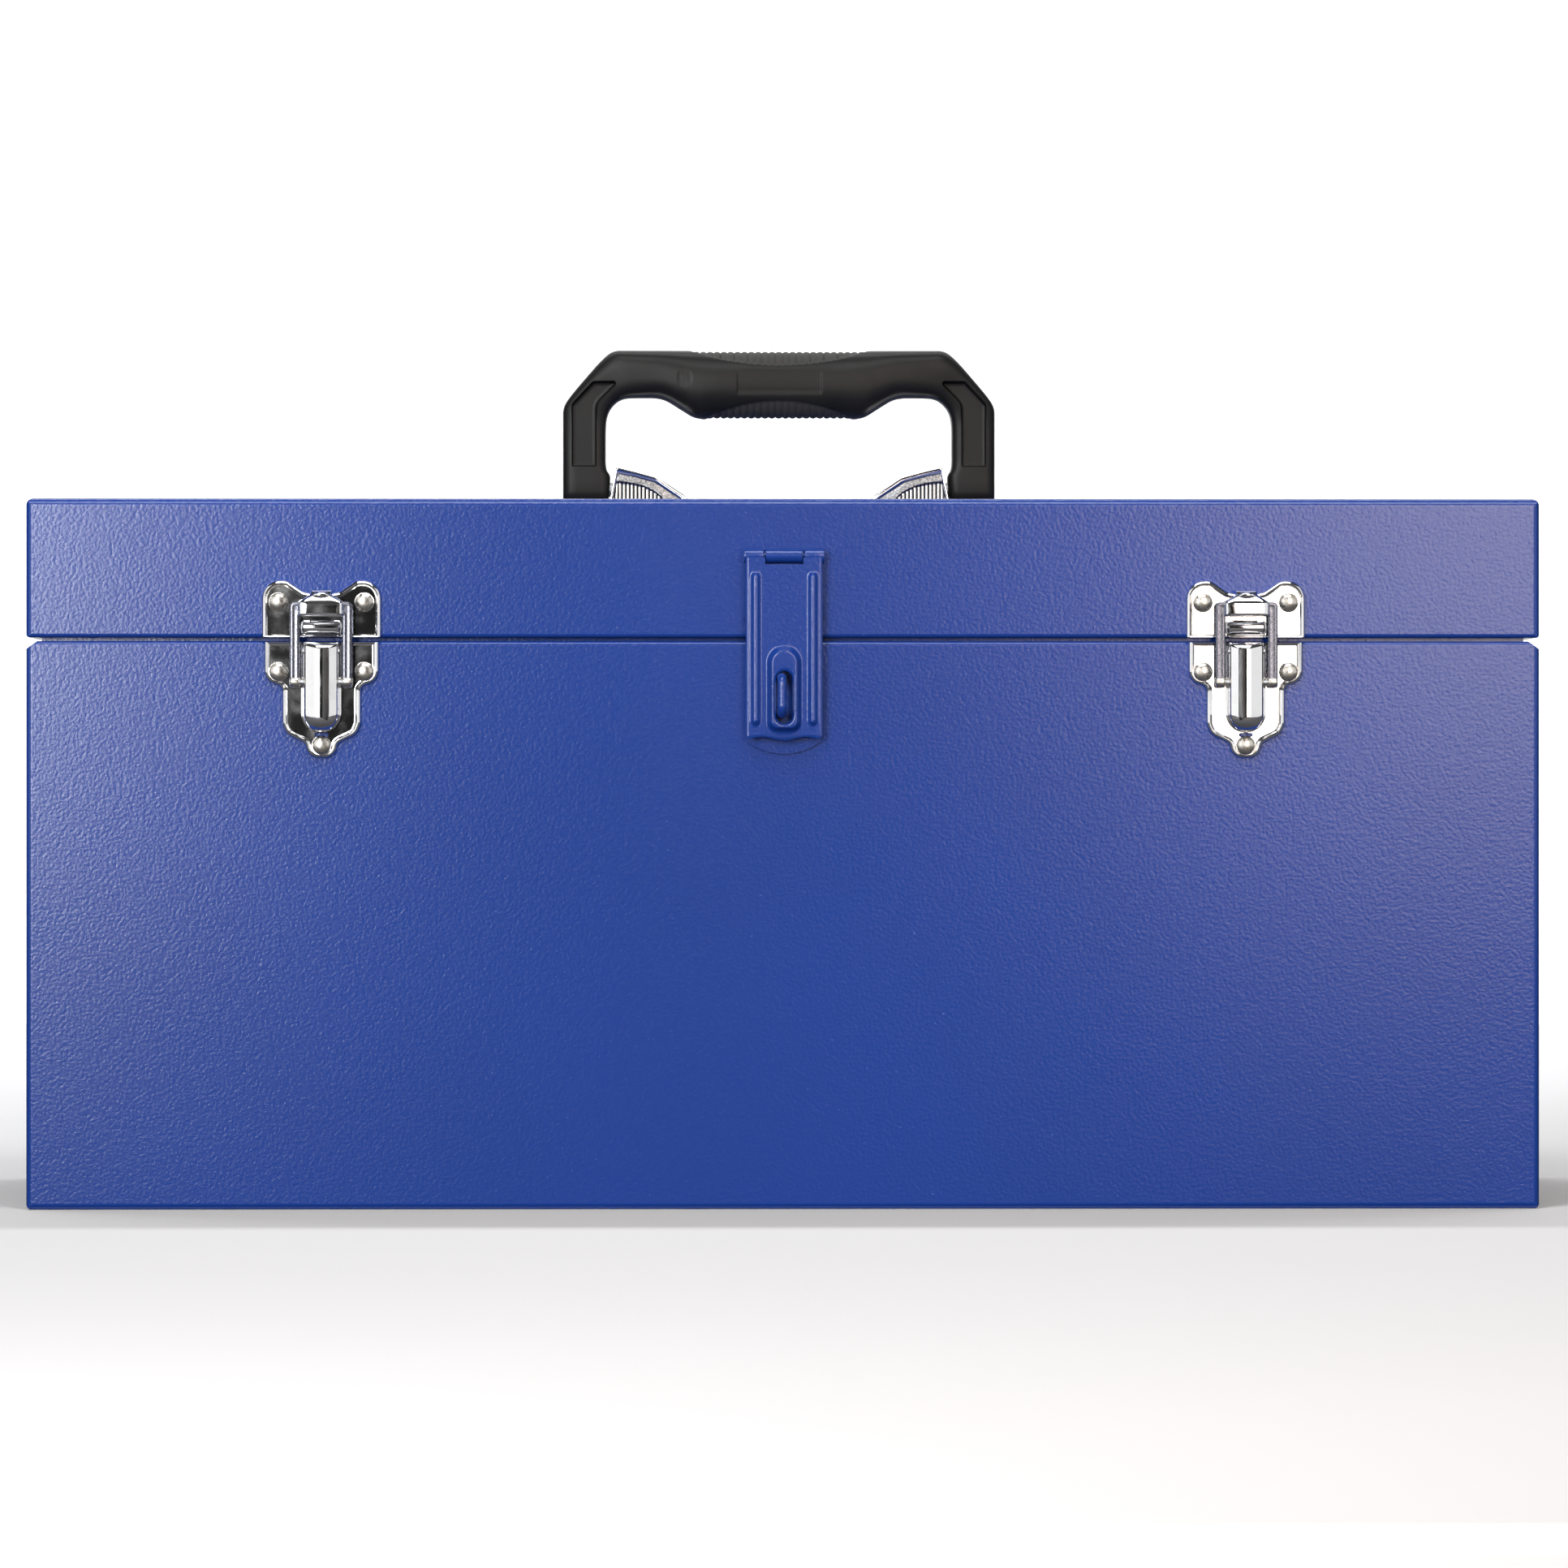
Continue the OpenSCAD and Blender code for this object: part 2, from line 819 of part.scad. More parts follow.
// Bent rod that stands out through the strap's slot, with its ends spread inside the wall
module staple() {
    leg = staple_reach - staple_bend;
    color(paint) on_front(0) translate([staple_x, 0, 0]) union() {
        for (end = [staple_low, staple_high]) {
            translate([0, end, -sheet]) cylinder(h = leg + sheet, r = staple_r);
            translate([0, end, -sheet - tail_h]) cylinder(h = tail_h, r = tail_r);
        }
        translate([0, staple_low + staple_bend, leg]) rotate([90, 0, -90])
            rotate_extrude(angle = 90) translate([staple_bend, 0]) circle(staple_r);
        translate([0, staple_high - staple_bend, leg]) rotate([90, 0, 90])
            rotate_extrude(angle = 90) translate([staple_bend, 0]) circle(staple_r);
        translate([0, staple_high - staple_bend, staple_reach]) rotate([90, 0, 0])
            cylinder(h = staple_high - staple_low - 2 * staple_bend, r = staple_r);
    }
}

// Leaf on the lid behind the strap, with the middle knuckle
module hasp_leaf() {
    knuckle_half = strap_window_half - 0.4;
    half = strap_half + 1.1;
    top = strap_pin_y - 3;
    color(paint) on_front(0) difference() {
        union() {
            translate([-half, hasp_leaf_low, 0])
                cube([2 * half, top - hasp_leaf_low, hasp_plate_t]);
            translate([-knuckle_half, hasp_leaf_low, 0])
                cube([2 * knuckle_half, strap_pin_y - hasp_leaf_low, hasp_plate_t]);
            rod_across([strap_pin_d, strap_pin_y], strap_knuckle_r - 0.1, 2 * knuckle_half);
        }
        rod_across([strap_pin_d, strap_pin_y], strap_pin_r + play, 60);
        for (side = [-1, 1]) {
            translate([side * hasp_rivet.x, hasp_rivet.y, 0]) rivet_hole();
        }
    }
}

module hasp_leaf_rivets() {
    color(paint) for (side = [-1, 1]) {
        on_front(0) translate([side * hasp_rivet.x, hasp_rivet.y, hasp_plate_t])
            flat_rivet(hasp_plate_t + sheet);
    }
}

module hasp_pin() {
    color(paint) on_front(0)
        rod_across([strap_pin_d, strap_pin_y], strap_pin_r, 2 * strap_half + 0.6);
}

module boss_outline(inset) {
    half = boss_half - inset;
    low = boss_low + inset;
    r = boss_corner_r - inset / 2;
    round_y = boss_high - boss_half;
    union() {
        translate([-half, low + r]) square([2 * half, round_y - low - r]);
        translate([r - half, low]) square([2 * (half - r), r]);
        for (side = [-1, 1]) {
            translate([side * (half - r), low + r]) circle(r);
        }
        translate([0, round_y]) circle(half);
    }
}

// Strap with two pressed ribs and a raised, slotted boss over the staple
module hasp_strap() {
    color(paint) on_front(0) difference() {
        union() {
            translate([0, 0, strap_back]) linear_extrude(strap_t)
                sagging_plate(strap_half, strap_low, strap_pin_y, strap_sag);
            rod_across([strap_pin_d, strap_pin_y], strap_knuckle_r, 2 * strap_half);
            intersection() {
                for (side = [-1, 1]) {
                    translate([side * rib_x, 0, rib_d]) union() {
                        translate([0, rib_high - rib_r, 0]) rotate([90, 0, 0])
                            cylinder(h = rib_high - rib_low - 2 * rib_r, r = rib_r);
                        translate([0, rib_high - rib_r, 0]) sphere(rib_r);
                        translate([0, rib_low + rib_r, 0]) sphere(rib_r);
                    }
                }
                translate([-20, -60, strap_back + strap_t / 2]) cube([40, 120, 10]);
            }
            translate([0, 0, strap_back]) linear_extrude(boss_front - strap_back) boss_outline(0);
        }
        translate([0, 0, strap_back - 1]) linear_extrude(boss_inside - strap_back + 1)
            boss_outline(1.2);
        translate([0, 0, boss_inside - 1]) linear_extrude(3) round_rect(
            [-slot_half, slot_low], [slot_half, slot_high], slot_half - 0.05, slot_half - 0.05);
        translate([-strap_window_half, strap_window_low, -5]) cube([2 * strap_window_half, 10, 20]);
        rod_across([strap_pin_d, strap_pin_y], strap_pin_r + play, 60);
    }
}

// ---- Grip and its brackets ----

// Front view of the grip's right half, run a little past the middle to join the left
module grip_half_front() {
    corner = 9;
    slope_x = 41;
    slope_len = 14.1;
    slope_drop = shoulder_under - grip_under;
    steps = 8;
    polygon(concat(
        [[-1, grip_z], [grip_half - 18.9, grip_z], [grip_half - 17, grip_z - 0.2],
        [grip_half - 15.5, grip_z - 0.9], [grip_half - 0.6, grip_z - 17.4],
        [grip_half, grip_z - 19], [grip_half, pivot_z - 10], [leg_inner, pivot_z - 10]],
        arc([leg_inner - corner, shoulder_under - corner], corner, 0, 90, 10),
        [for (i = [0 : steps]) [slope_x - slope_len * i / steps,
            shoulder_under - slope_drop * (1 - cos(180 * i / steps)) / 2]],
        [[-1, grip_under]]
    ));
}

// Side view of the grip: round bar above, flat legs with round feet below
module grip_side() {
    union() {
        translate([0, bar_z]) circle(grip_r);
        translate([-leg_half_y, pivot_z]) square([2 * leg_half_y, bar_z - pivot_z]);
        translate([0, pivot_z]) circle(leg_half_y);
    }
}

// Shallow recess in the face of one leg
module leg_pocket() {
    inner = leg_inner + 3.3;
    outer = grip_half - 3.2;
    polygon(concat(
        [[inner, pivot_z + 7.9], [outer, pivot_z + 7.9], [outer, grip_z - 19.1],
        [outer - 7.5, grip_z - 11.2]],
        bow([inner - 7.4, grip_z - 11.2], [inner, grip_z - 13], [inner, grip_z - 24.2], 6)
    ));
}

module grip() {
    color(plastic) difference() {
        intersection() {
            run_y(4 * grip_r) union() {
                grip_half_front();
                mirror([1, 0]) grip_half_front();
            }
            run_x(2 * grip_half + 10) grip_side();
        }
        for (side = [0, 1], face = [-1, 1]) {
            mirror([side, 0, 0]) translate([0, face * (leg_half_y + 5 - pocket_deep), 0])
                run_y(10) leg_pocket();
        }
        for (side = [0, 1]) {
            mirror([side, 0, 0]) translate([leg_inner - 1, 0, pivot_z])
                rotate([0, 90, 0]) cylinder(h = grip_bore_deep + 1, r = grip_pin_r + 2 * play);
        }
    }
}

// Front view of a bracket's outside, with heights above the lid
function bracket_outside() = concat(
    [[bracket_out, 0], [bracket_out - 2.9, bracket_top]],
    bow([bracket_out - 14.2, 12], [bracket_out - 23.1, 10.6], [bracket_out - 28.4, 4.3], 8),
    [[bracket_out - 30.6, 0]]
);

// Front view of the hollow inside a bracket
function bracket_inside() = concat(
    [[bracket_out - bracket_wall, -1], [bracket_out - 2.9 - bracket_wall, bracket_top - 1.6]],
    bow([bracket_out - 14.2, 12 - bracket_wall], [bracket_out - 22.6, 9.3],
        [bracket_out - 27.3, 3.7], 8),
    [[bracket_out - 29.5, -1]]
);

// Pressed bracket inside one leg, with two feet turned in for its rivets
module bracket(side) {
    foot = [22, 9, bracket_wall];
    foot_x = bracket_out - 26;
    corner_r = 3;
    color(chrome) mirror([side < 0 ? 1 : 0, 0, 0]) translate([0, 0, box_h]) difference() {
        union() {
            difference() {
                intersection() {
                    run_y(2 * bracket_half_y) polygon(bracket_outside());
                    linear_extrude(20) round_rect([bracket_out - 31, -bracket_half_y],
                        [bracket_out + 1, bracket_half_y], corner_r, corner_r);
                }
                run_y(2 * (bracket_half_y - bracket_wall)) polygon(bracket_inside());
            }
            for (face = [-1, 1]) {
                translate([foot_x, face * (bracket_half_y - foot.y / 2 - 0.5) - foot.y / 2, 0])
                    cube(foot);
            }
        }
        translate([bracket_out - 10, 0, pivot_up]) rotate([0, 90, 0])
            cylinder(h = 20, r = grip_pin_r + play);
        for (face = [-1, 1]) {
            translate([bracket_rivet.x, face * bracket_rivet.y, 0]) rivet_hole();
        }
    }
}

module left_bracket() { bracket(-1); }
module right_bracket() { bracket(1); }

module backing_plate() {
    half = bracket_out + 18;
    color(plain_steel) difference() {
        translate([-half, -20, box_h - sheet - backing_t]) cube([2 * half, 40, backing_t]);
        for (side = [-1, 1], face = [-1, 1]) {
            bracket_hole(side, face);
        }
    }
}

module bracket_rivets() {
    color(plain_steel) for (side = [-1, 1], face = [-1, 1]) {
        translate([side * bracket_rivet.x, face * bracket_rivet.y, box_h + bracket_wall])
            flat_rivet(bracket_wall + sheet + backing_t);
    }
}

module grip_pin(side) {
    head_r = 3.8;
    head_x = bracket_out - 5.6;
    color(plain_steel) mirror([side < 0 ? 1 : 0, 0, 0]) translate([head_x, 0, pivot_z])
        rotate([0, 90, 0]) union() {
            cylinder(h = 1.8, r = head_r);
            cylinder(h = leg_inner + grip_bore_deep - 0.5 - head_x, r = grip_pin_r);
        }
}

module left_grip_pin() { grip_pin(-1); }
module right_grip_pin() { grip_pin(1); }

// ---- Tray ----

// Floor and the long walls of the tray, bent from one sheet
module tray_pan() {
    color(paint) run_x(tray_w - 2 * sheet) difference() {
        round_rect([-tray_half_d, tray_z], [tray_half_d, tray_z + tray_h], bend_r, 0.5);
        round_rect([sheet - tray_half_d, tray_z + sheet], [tray_half_d - sheet, tray_z + tray_h + 5],
            bend_r - sheet, 0.5);
    }
}

module tray_end(side) {
    tab = 10;
    color(paint) mirror([side < 0 ? 1 : 0, 0, 0]) union() {
        translate([tray_half - sheet, -tray_half_d, tray_z]) cube([sheet, tray_d, tray_h]);
        for (face = [-1, 1]) {
            translate([tray_half - tab, face * (tray_half_d - 1.5 * sheet) - sheet / 2, tray_z + 4])
                cube([tab - sheet / 2, sheet, tray_h - 6]);
        }
    }
}

module tray_left_end() { tray_end(-1); }
module tray_right_end() { tray_end(1); }

module handle_rivet_holes() {
    for (side = [-1, 1]) {
        translate([side * handle_rivet_x, 0, handle_rivet_z]) rotate([90, 0, 0]) rivet_hole();
    }
}

// Upright sheet that parts the tray lengthwise, with a foot on the floor
module tray_divider() {
    foot = 10;
    color(paint) difference() {
        union() {
            translate([-divider_half, 0, tray_z + sheet]) cube([2 * divider_half, sheet, divider_h]);
            translate([-divider_half, 0, tray_z + sheet]) cube([2 * divider_half, foot, sheet]);
        }
        handle_rivet_holes();
    }
}

// Bent strip that carries the tray, riveted to the divider
module tray_handle() {
    low = tray_z + 12;
    high = tray_z + strap_handle_top;
    r = 12;
    color(plain_steel) difference() {
        union() {
            translate([0, sheet + strap_handle_half_y, 0]) run_y(2 * strap_handle_half_y) difference() {
                round_rect([-strap_handle_half, low + 20], [strap_handle_half, high], 0.5, r);
                round_rect([strap_handle_t - strap_handle_half, low],
                    [strap_handle_half - strap_handle_t, high - strap_handle_t],
                    0.5, r - strap_handle_t);
            }
            for (side = [-1, 1]) {
                translate([side * (strap_handle_half - strap_handle_half_y / 2 - 2)
                    - strap_handle_half_y / 2 - 2, sheet, low])
                    cube([strap_handle_half_y + 4, strap_handle_t, 26]);
            }
        }
        handle_rivet_holes();
    }
}

module tray_rivets() {
    color(plain_steel) for (side = [-1, 1]) {
        translate([side * handle_rivet_x, 0, handle_rivet_z]) rotate([90, 0, 0])
            flat_rivet(sheet + strap_handle_t);
    }
}

body_shell();
left_end_panel();
right_end_panel();
left_tray_ledge();
right_tray_ledge();
hinge_body_leaf();
hinge_pin();
hinge_body_rivets();
staple_plate();
staple();
staple_plate_rivets();
left_latch_base();
right_latch_base();
latch_base_rivets();
left_lever_pin();
right_lever_pin();
lid_shell();
lid_left_end();
lid_right_end();
hinge_lid_leaf();
hinge_lid_rivets();
hasp_leaf();
hasp_pin();
hasp_leaf_rivets();
left_strike();
right_strike();
strike_rivets();
left_bracket();
right_bracket();
bracket_rivets();
backing_plate();
left_grip_pin();
right_grip_pin();
grip();
hasp_strap();
left_lever();
right_lever();
left_link_pin();
right_link_pin();
left_link();
right_link();
tray_pan();
tray_left_end();
tray_right_end();
tray_divider();
tray_handle();
tray_rivets();
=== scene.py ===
"""Looks of a portable sheet-steel tool box: paint, plated latches, hasp and folding grip."""

import json
import math

import bmesh
import bpy
from bpy.props import FloatProperty, FloatVectorProperty, PointerProperty
from mathutils import Matrix, Vector


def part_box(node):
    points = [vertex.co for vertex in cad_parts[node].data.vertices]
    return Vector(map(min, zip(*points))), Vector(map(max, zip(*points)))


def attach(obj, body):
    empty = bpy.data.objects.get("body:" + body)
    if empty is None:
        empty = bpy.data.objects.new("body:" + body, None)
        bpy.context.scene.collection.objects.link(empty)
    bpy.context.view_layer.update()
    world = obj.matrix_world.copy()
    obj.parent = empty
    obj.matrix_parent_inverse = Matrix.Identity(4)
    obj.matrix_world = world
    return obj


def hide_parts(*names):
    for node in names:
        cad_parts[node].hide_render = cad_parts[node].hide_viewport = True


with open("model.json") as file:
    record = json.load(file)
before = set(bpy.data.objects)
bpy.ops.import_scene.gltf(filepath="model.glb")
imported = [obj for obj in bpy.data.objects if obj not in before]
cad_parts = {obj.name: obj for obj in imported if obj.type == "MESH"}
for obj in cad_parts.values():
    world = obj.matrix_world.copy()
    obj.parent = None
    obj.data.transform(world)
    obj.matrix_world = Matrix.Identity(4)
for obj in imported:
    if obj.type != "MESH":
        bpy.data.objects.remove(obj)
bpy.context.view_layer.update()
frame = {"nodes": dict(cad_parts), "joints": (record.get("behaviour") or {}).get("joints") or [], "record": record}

bl_info = {
    "name": "Sheet Steel Tool Box",
    "version": (1, 0, 0),
    "blender": (4, 5, 0),
    "location": "View3D > Sidebar > Tool Box",
    "description": "Builds the hardware, grip and finishes of a sheet-steel tool box",
    "category": "Add Mesh",
}

MM = 0.001
JOINTS = {joint["name"]: joint for joint in frame["joints"]}

# Levels and faces of the box, read from the frame; the seam lies just under the lid's edge
SEAM_DROP = 0.6
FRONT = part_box("body_shell")[0].y
LID_LOW, LID_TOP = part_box("lid_shell")[0].z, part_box("lid_shell")[1].z
SEAM = LID_LOW - SEAM_DROP * MM
LATCH_X = JOINTS["right_lever_swing"]["pos_m"][0] / MM
PIVOT_Z = JOINTS["handle_fold"]["pos_m"][2]
GRIP_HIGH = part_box("grip")[1]
SIDES = {"left": -1, "right": 1}

CREASE = 32  # edges sharper than this, in degrees, stay crisp
WELD = 1e-7  # points closer than this, in metres, are one point
SHEET = 1.0  # thickness of the sheet steel
DRAWN_WALL = 0.7  # thickness of the drawn pressings
RIDGE_ROUNDNESS = 0.6  # below 1, ridges are flat on top with narrow grooves between


# ---- Settings ----

def length(name, description, millimetres):
    """A length property whose default is given in millimetres."""
    return FloatProperty(name=name, description=description, default=millimetres * MM,
                         min=0, unit="LENGTH", precision=5)


def share(name, description, default):
    """A property between 0 and 1."""
    return FloatProperty(name=name, description=description, default=default,
                         min=0, max=1, subtype="FACTOR")


def colour(name, description, default):
    """A colour property in linear light."""
    return FloatVectorProperty(name=name, description=description, default=default,
                               min=0, max=1, size=3, subtype="COLOR")


class LatchSettings(bpy.types.PropertyGroup):
    """Sizes of the draw latches and their rivets"""
    plate_half: length("Base half width", "Half width of the base plate", 19.2)
    waist_half: length("Waist half width", "Half width of the base plate below its rivets", 13.2)
    border_width: length("Border width", "Width of the pressed border of both plates", 1.9)
    border_rise: length("Border rise", "Height of the pressed border above the wall", 1.95)
    cap_half: length("Lever half width", "Half width of the lever's cap", 6.7)
    cap_rise: length("Lever height", "Height of the lever's crown above the wall", 8.1)
    arm_width: length("Arm width", "Width of each of the link's two arms", 3.35)
    rivet_radius: length("Rivet radius", "Radius of a domed rivet head", 3.3)
    rivet_rise: length("Rivet height", "Height of a domed rivet head", 1.8)


class HaspSettings(bpy.types.PropertyGroup):
    """Sizes of the hasp's strap"""
    strap_half: length("Strap half width", "Half width of the hasp's strap", 12.8)
    rib_rise: length("Rib height", "Height of the two pressed ribs", 1.25)
    boss_rise: length("Boss height", "Height of the raised boss round the slot", 2.8)
    slot_half: length("Slot half width", "Half width of the slot over the staple", 2.75)


class GripSettings(bpy.types.PropertyGroup):
    """Fine forms of the grip and its brackets"""
    rib_pitch: length("Rib pitch", "Distance between the ribs of the grip", 2.4)
    rib_depth: length("Rib depth", "Depth of the grooves between the ribs", 0.6)
    flute_pitch: length("Flute pitch", "Distance between the flutes of a bracket", 1.35)
    flute_depth: length("Flute depth", "Depth of the flutes of a bracket", 0.3)
    plaque_depth: length("Plaque depth", "Depth of the blank plaque on the grip", 0.3)


class FinishSettings(bpy.types.PropertyGroup):
    """Colours and roughness of the finishes"""
    paint: colour("Paint", "Powder coat on the sheet steel", (0.0048, 0.0320, 0.205))
    paint_roughness: share("Paint roughness", "Roughness of the powder coat", 0.22)
    chrome: colour("Chrome", "Plating on the latches and brackets", (0.86, 0.86, 0.87))
    chrome_roughness: share("Chrome roughness", "Roughness of the plating", 0.07)
    satin: colour("Satin", "Duller plating of rivet heads and knobs", (0.66, 0.63, 0.58))
    pressed: colour("Pressed", "Dulled plating of deep pressings", (0.17, 0.175, 0.21))
    plastic: colour("Plastic", "Moulded plastic of the grip", (0.0070, 0.0070, 0.0068))
    plastic_roughness: share("Plastic roughness", "Roughness of the plastic", 0.42)
    zinc: colour("Zinc", "Plain plated steel of pins and bracket walls", (0.44, 0.45, 0.47))


class StageSettings(bpy.types.PropertyGroup):
    """Place of the camera and colour of the floor"""
    camera_distance: length("Camera distance", "From the camera to the front wall", 2590)
    camera_left: length("Camera offset", "How far the camera stands left of the middle", 44)
    camera_height: length("Camera height", "Height of the camera above the floor", 142.7)
    view_width: length("View width", "Width of the picture at the front wall", 526)
    floor: colour("Floor", "Pale floor under the box", (0.86, 0.86, 0.87))


# ---- Meshes ----

def placed(name, data):
    """A new object for the data, put in the scene."""
    whole = bpy.data.objects.new(name, data)
    bpy.context.scene.collection.objects.link(whole)
    return whole


def mesh_of(name, points, faces):
    """A mesh of points in metres and the faces between them."""
    mesh = bpy.data.meshes.new(name)
    mesh.from_pydata([tuple(point) for point in points], [], faces)
    return mesh


def new_piece(name, points, faces, finish, crease=CREASE):
    """A mesh object with outward faces, smooth except across edges sharper than crease."""
    mesh = mesh_of(name, points, faces)
    work = bmesh.new()
    work.from_mesh(mesh)
    bmesh.ops.remove_doubles(work, verts=work.verts, dist=WELD)
    bmesh.ops.dissolve_degenerate(work, edges=work.edges, dist=WELD)
    bmesh.ops.recalc_face_normals(work, faces=work.faces)
    work.to_mesh(mesh)
    work.free()
    shade(mesh, crease)
    mesh.materials.append(finish)
    return placed(name, mesh)


def shade(mesh, crease):
    """Smooth shading, broken at edges sharper than crease degrees."""
    mesh.polygons.foreach_set("use_smooth", [True] * len(mesh.polygons))
    mesh.set_sharp_from_angle(angle=math.radians(crease))


def settle(piece, crease=CREASE):
    """Turns a piece's modifiers into its mesh."""
    evaluated = piece.evaluated_get(bpy.context.evaluated_depsgraph_get())
    mesh = bpy.data.meshes.new_from_object(evaluated)
    piece.modifiers.clear()
    piece.data = mesh
    shade(mesh, crease)
    return piece


def joined(name, pieces, crease=CREASE):
    """One piece out of several, with the material slots merged."""
    work = bmesh.new()
    finishes = []
    for piece in pieces:
        own = piece.data.materials
        for finish in own:
            if finish not in finishes:
                finishes.append(finish)
        start = len(work.faces)
        work.from_mesh(piece.data)
        work.faces.ensure_lookup_table()
        for face in work.faces[start:]:
            face.material_index = finishes.index(own[face.material_index])
    mesh = bpy.data.meshes.new(name)
    work.to_mesh(mesh)
    work.free()
    for finish in finishes:
        mesh.materials.append(finish)
    shade(mesh, crease)
    for piece in pieces:
        bpy.data.objects.remove(piece)
    return placed(name, mesh)


def cut(piece, cutter, crease=CREASE):
    """Takes the cutter's solid out of the piece."""
    modifier = piece.modifiers.new("Cut", "BOOLEAN")
    modifier.operation = "DIFFERENCE"
    modifier.solver = "EXACT"
    modifier.object = cutter
    settle(piece, crease)
    bpy.data.objects.remove(cutter)


def thicken(piece, millimetres, crease=CREASE):
    """Gives an open skin a wall on its inner side."""
    modifier = piece.modifiers.new("Wall", "SOLIDIFY")
    modifier.thickness = millimetres * MM
    modifier.offset = -1
    modifier.use_even_offset = True
    return settle(piece, crease)


def dress(piece, body, slot_name, *nodes):
    """Puts a finished piece on its body, in place of CAD nodes; slot_name is not used."""
    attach(piece, body)
    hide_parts(*nodes)


def bridge(rings, closed=True, caps=True):
    """Points and faces of a skin over rings of points, each ring with the same count."""
    count = len(rings[0])
    points = [point for ring in rings for point in ring]
    faces = []
    for row in range(len(rings) - 1):
        for i in range(count if closed else count - 1):
            j = (i + 1) % count
            faces.append((row * count + i, row * count + j,
                          (row + 1) * count + j, (row + 1) * count + i))
    if caps:
        faces.append(tuple(reversed(range(count))))
        faces.append(tuple(range((len(rings) - 1) * count, len(rings) * count)))
    return points, faces


# ---- Outlines: corners are (x, y, radius), counter-clockwise ----

def quarter(steps):
    """Angles from 0 to a right angle in equal steps."""
    return [math.pi / 2 * i / steps for i in range(steps + 1)]


def full_turn(count):
    """Angles of so many equal steps round a circle."""
    return [2 * math.pi * i / count for i in range(count)]


def power(value, exponent):
    """A signed power, for rounded squares."""
    return math.copysign(abs(value) ** exponent, value)


def turn(before, here, after):
    """Unit directions into and out of a corner."""
    into = Vector((here[0] - before[0], here[1] - before[1])).normalized()
    out = Vector((after[0] - here[0], after[1] - here[1])).normalized()
    return into, out


def rounded(corners, steps=7):
    """The outline's points, with each corner drawn as an arc of its radius."""
    outline = []
    for i, here in enumerate(corners):
        into, out = turn(corners[i - 1], here, corners[(i + 1) % len(corners)])
        angle = into.angle_signed(out)
        reach = here[2] * math.tan(abs(angle) / 2)
        start = Vector(here[:2]) - into * reach
        side = Vector((-into.y, into.x)) if angle < 0 else Vector((into.y, -into.x))
        centre = start + side * here[2]
        for step in range(steps + 1):
            spoke = (start - centre).copy()
            spoke.rotate(Matrix.Rotation(-angle * step / steps, 2))
            outline.append(centre + spoke)
    return outline


def taken_in(corners, inset):
    """The same corners moved inward by inset, with their radii to match."""
    moved = []
    for i, here in enumerate(corners):
        into, out = turn(corners[i - 1], here, corners[(i + 1) % len(corners)])
        inward = Vector((-into.y, into.x)) + Vector((-out.y, out.x))
        place = Vector(here[:2]) + inward * inset / (1 + into.dot(out))
        convex = into.x * out.y - into.y * out.x > 0
        radius = max(here[2] - inset, 0.05) if convex else here[2] + inset
        moved.append((place.x, place.y, radius))
    return moved


def mirrored(right_half):
    """Corners of a symmetric outline from those of its right half, bottom to top."""
    return right_half + [(-x, y, radius) for x, y, radius in reversed(right_half)]


def on_wall(x, y, out):
    """A point of the front wall's frame in metres: across, up from the seam, outward."""
    return Vector((x * MM, FRONT - out * MM, SEAM + y * MM))


def prism(name, corners, profile, place, finish, steps=7):
    """A closed solid whose edge follows profile, (inset, out) pairs; place maps (x, y, out)."""
    rings = []
    for inset, out in profile:
        rings.append([place(p.x, p.y, out) for p in rounded(taken_in(corners, inset), steps)])
    return new_piece(name, *bridge(rings), finish)


def plate(name, corners, profile, finish, centre_x=0, steps=7):
    """A prism on the front wall, about centre_x."""
    def place(x, y, out):
        return on_wall(centre_x + x, y, out)
    return prism(name, corners, profile, place, finish, steps)


def rod_across(name, x, half, y, out, radius, finish, end_round, around=32):
    """A rod across the wall, with its ends rounded by end_round."""
    stations = [(end_round * (1 - math.cos(a)) - half,
                 radius - end_round + end_round * math.sin(a)) for a in quarter(5)]
    stations += [(-along, r) for along, r in reversed(stations)]
    rings = [[on_wall(x + along, y + r * math.sin(a), out + r * math.cos(a))
              for a in full_turn(around)] for along, r in stations]
    return new_piece(name, *bridge(rings), finish)


def soft(value, width=1.0):
    """0 below zero, 1 from width upward, and smooth between."""
    share_of = min(max(value / width, 0), 1)
    return share_of * share_of * (3 - 2 * share_of)


def store(piece, name, values):
    """Keeps one number for each point of a piece."""
    layer = piece.data.attributes.new(name, "FLOAT", "POINT")
    layer.data.foreach_set("value", values)


# ---- Node trees ----

class Wire:
    """A socket of a node tree; arithmetic on it adds Math nodes."""

    def __init__(self, nodes, socket):
        self.nodes = nodes
        self.socket = socket

    def math(self, operation, *others):
        """A Math node of this socket and the others."""
        return self.nodes.node("ShaderNodeMath", {"operation": operation},
                               dict(enumerate((self,) + others)))

    def __add__(self, other):
        return self.math("ADD", other)

    __radd__ = __add__

    def __sub__(self, other):
        return self.math("SUBTRACT", other)

    def __rsub__(self, other):
        return self * -1 + other

    def __mul__(self, other):
        return self.math("MULTIPLY", other)

    __rmul__ = __mul__

    def __truediv__(self, other):
        return self.math("DIVIDE", other)

    def __pow__(self, other):
        return self.math("POWER", other)


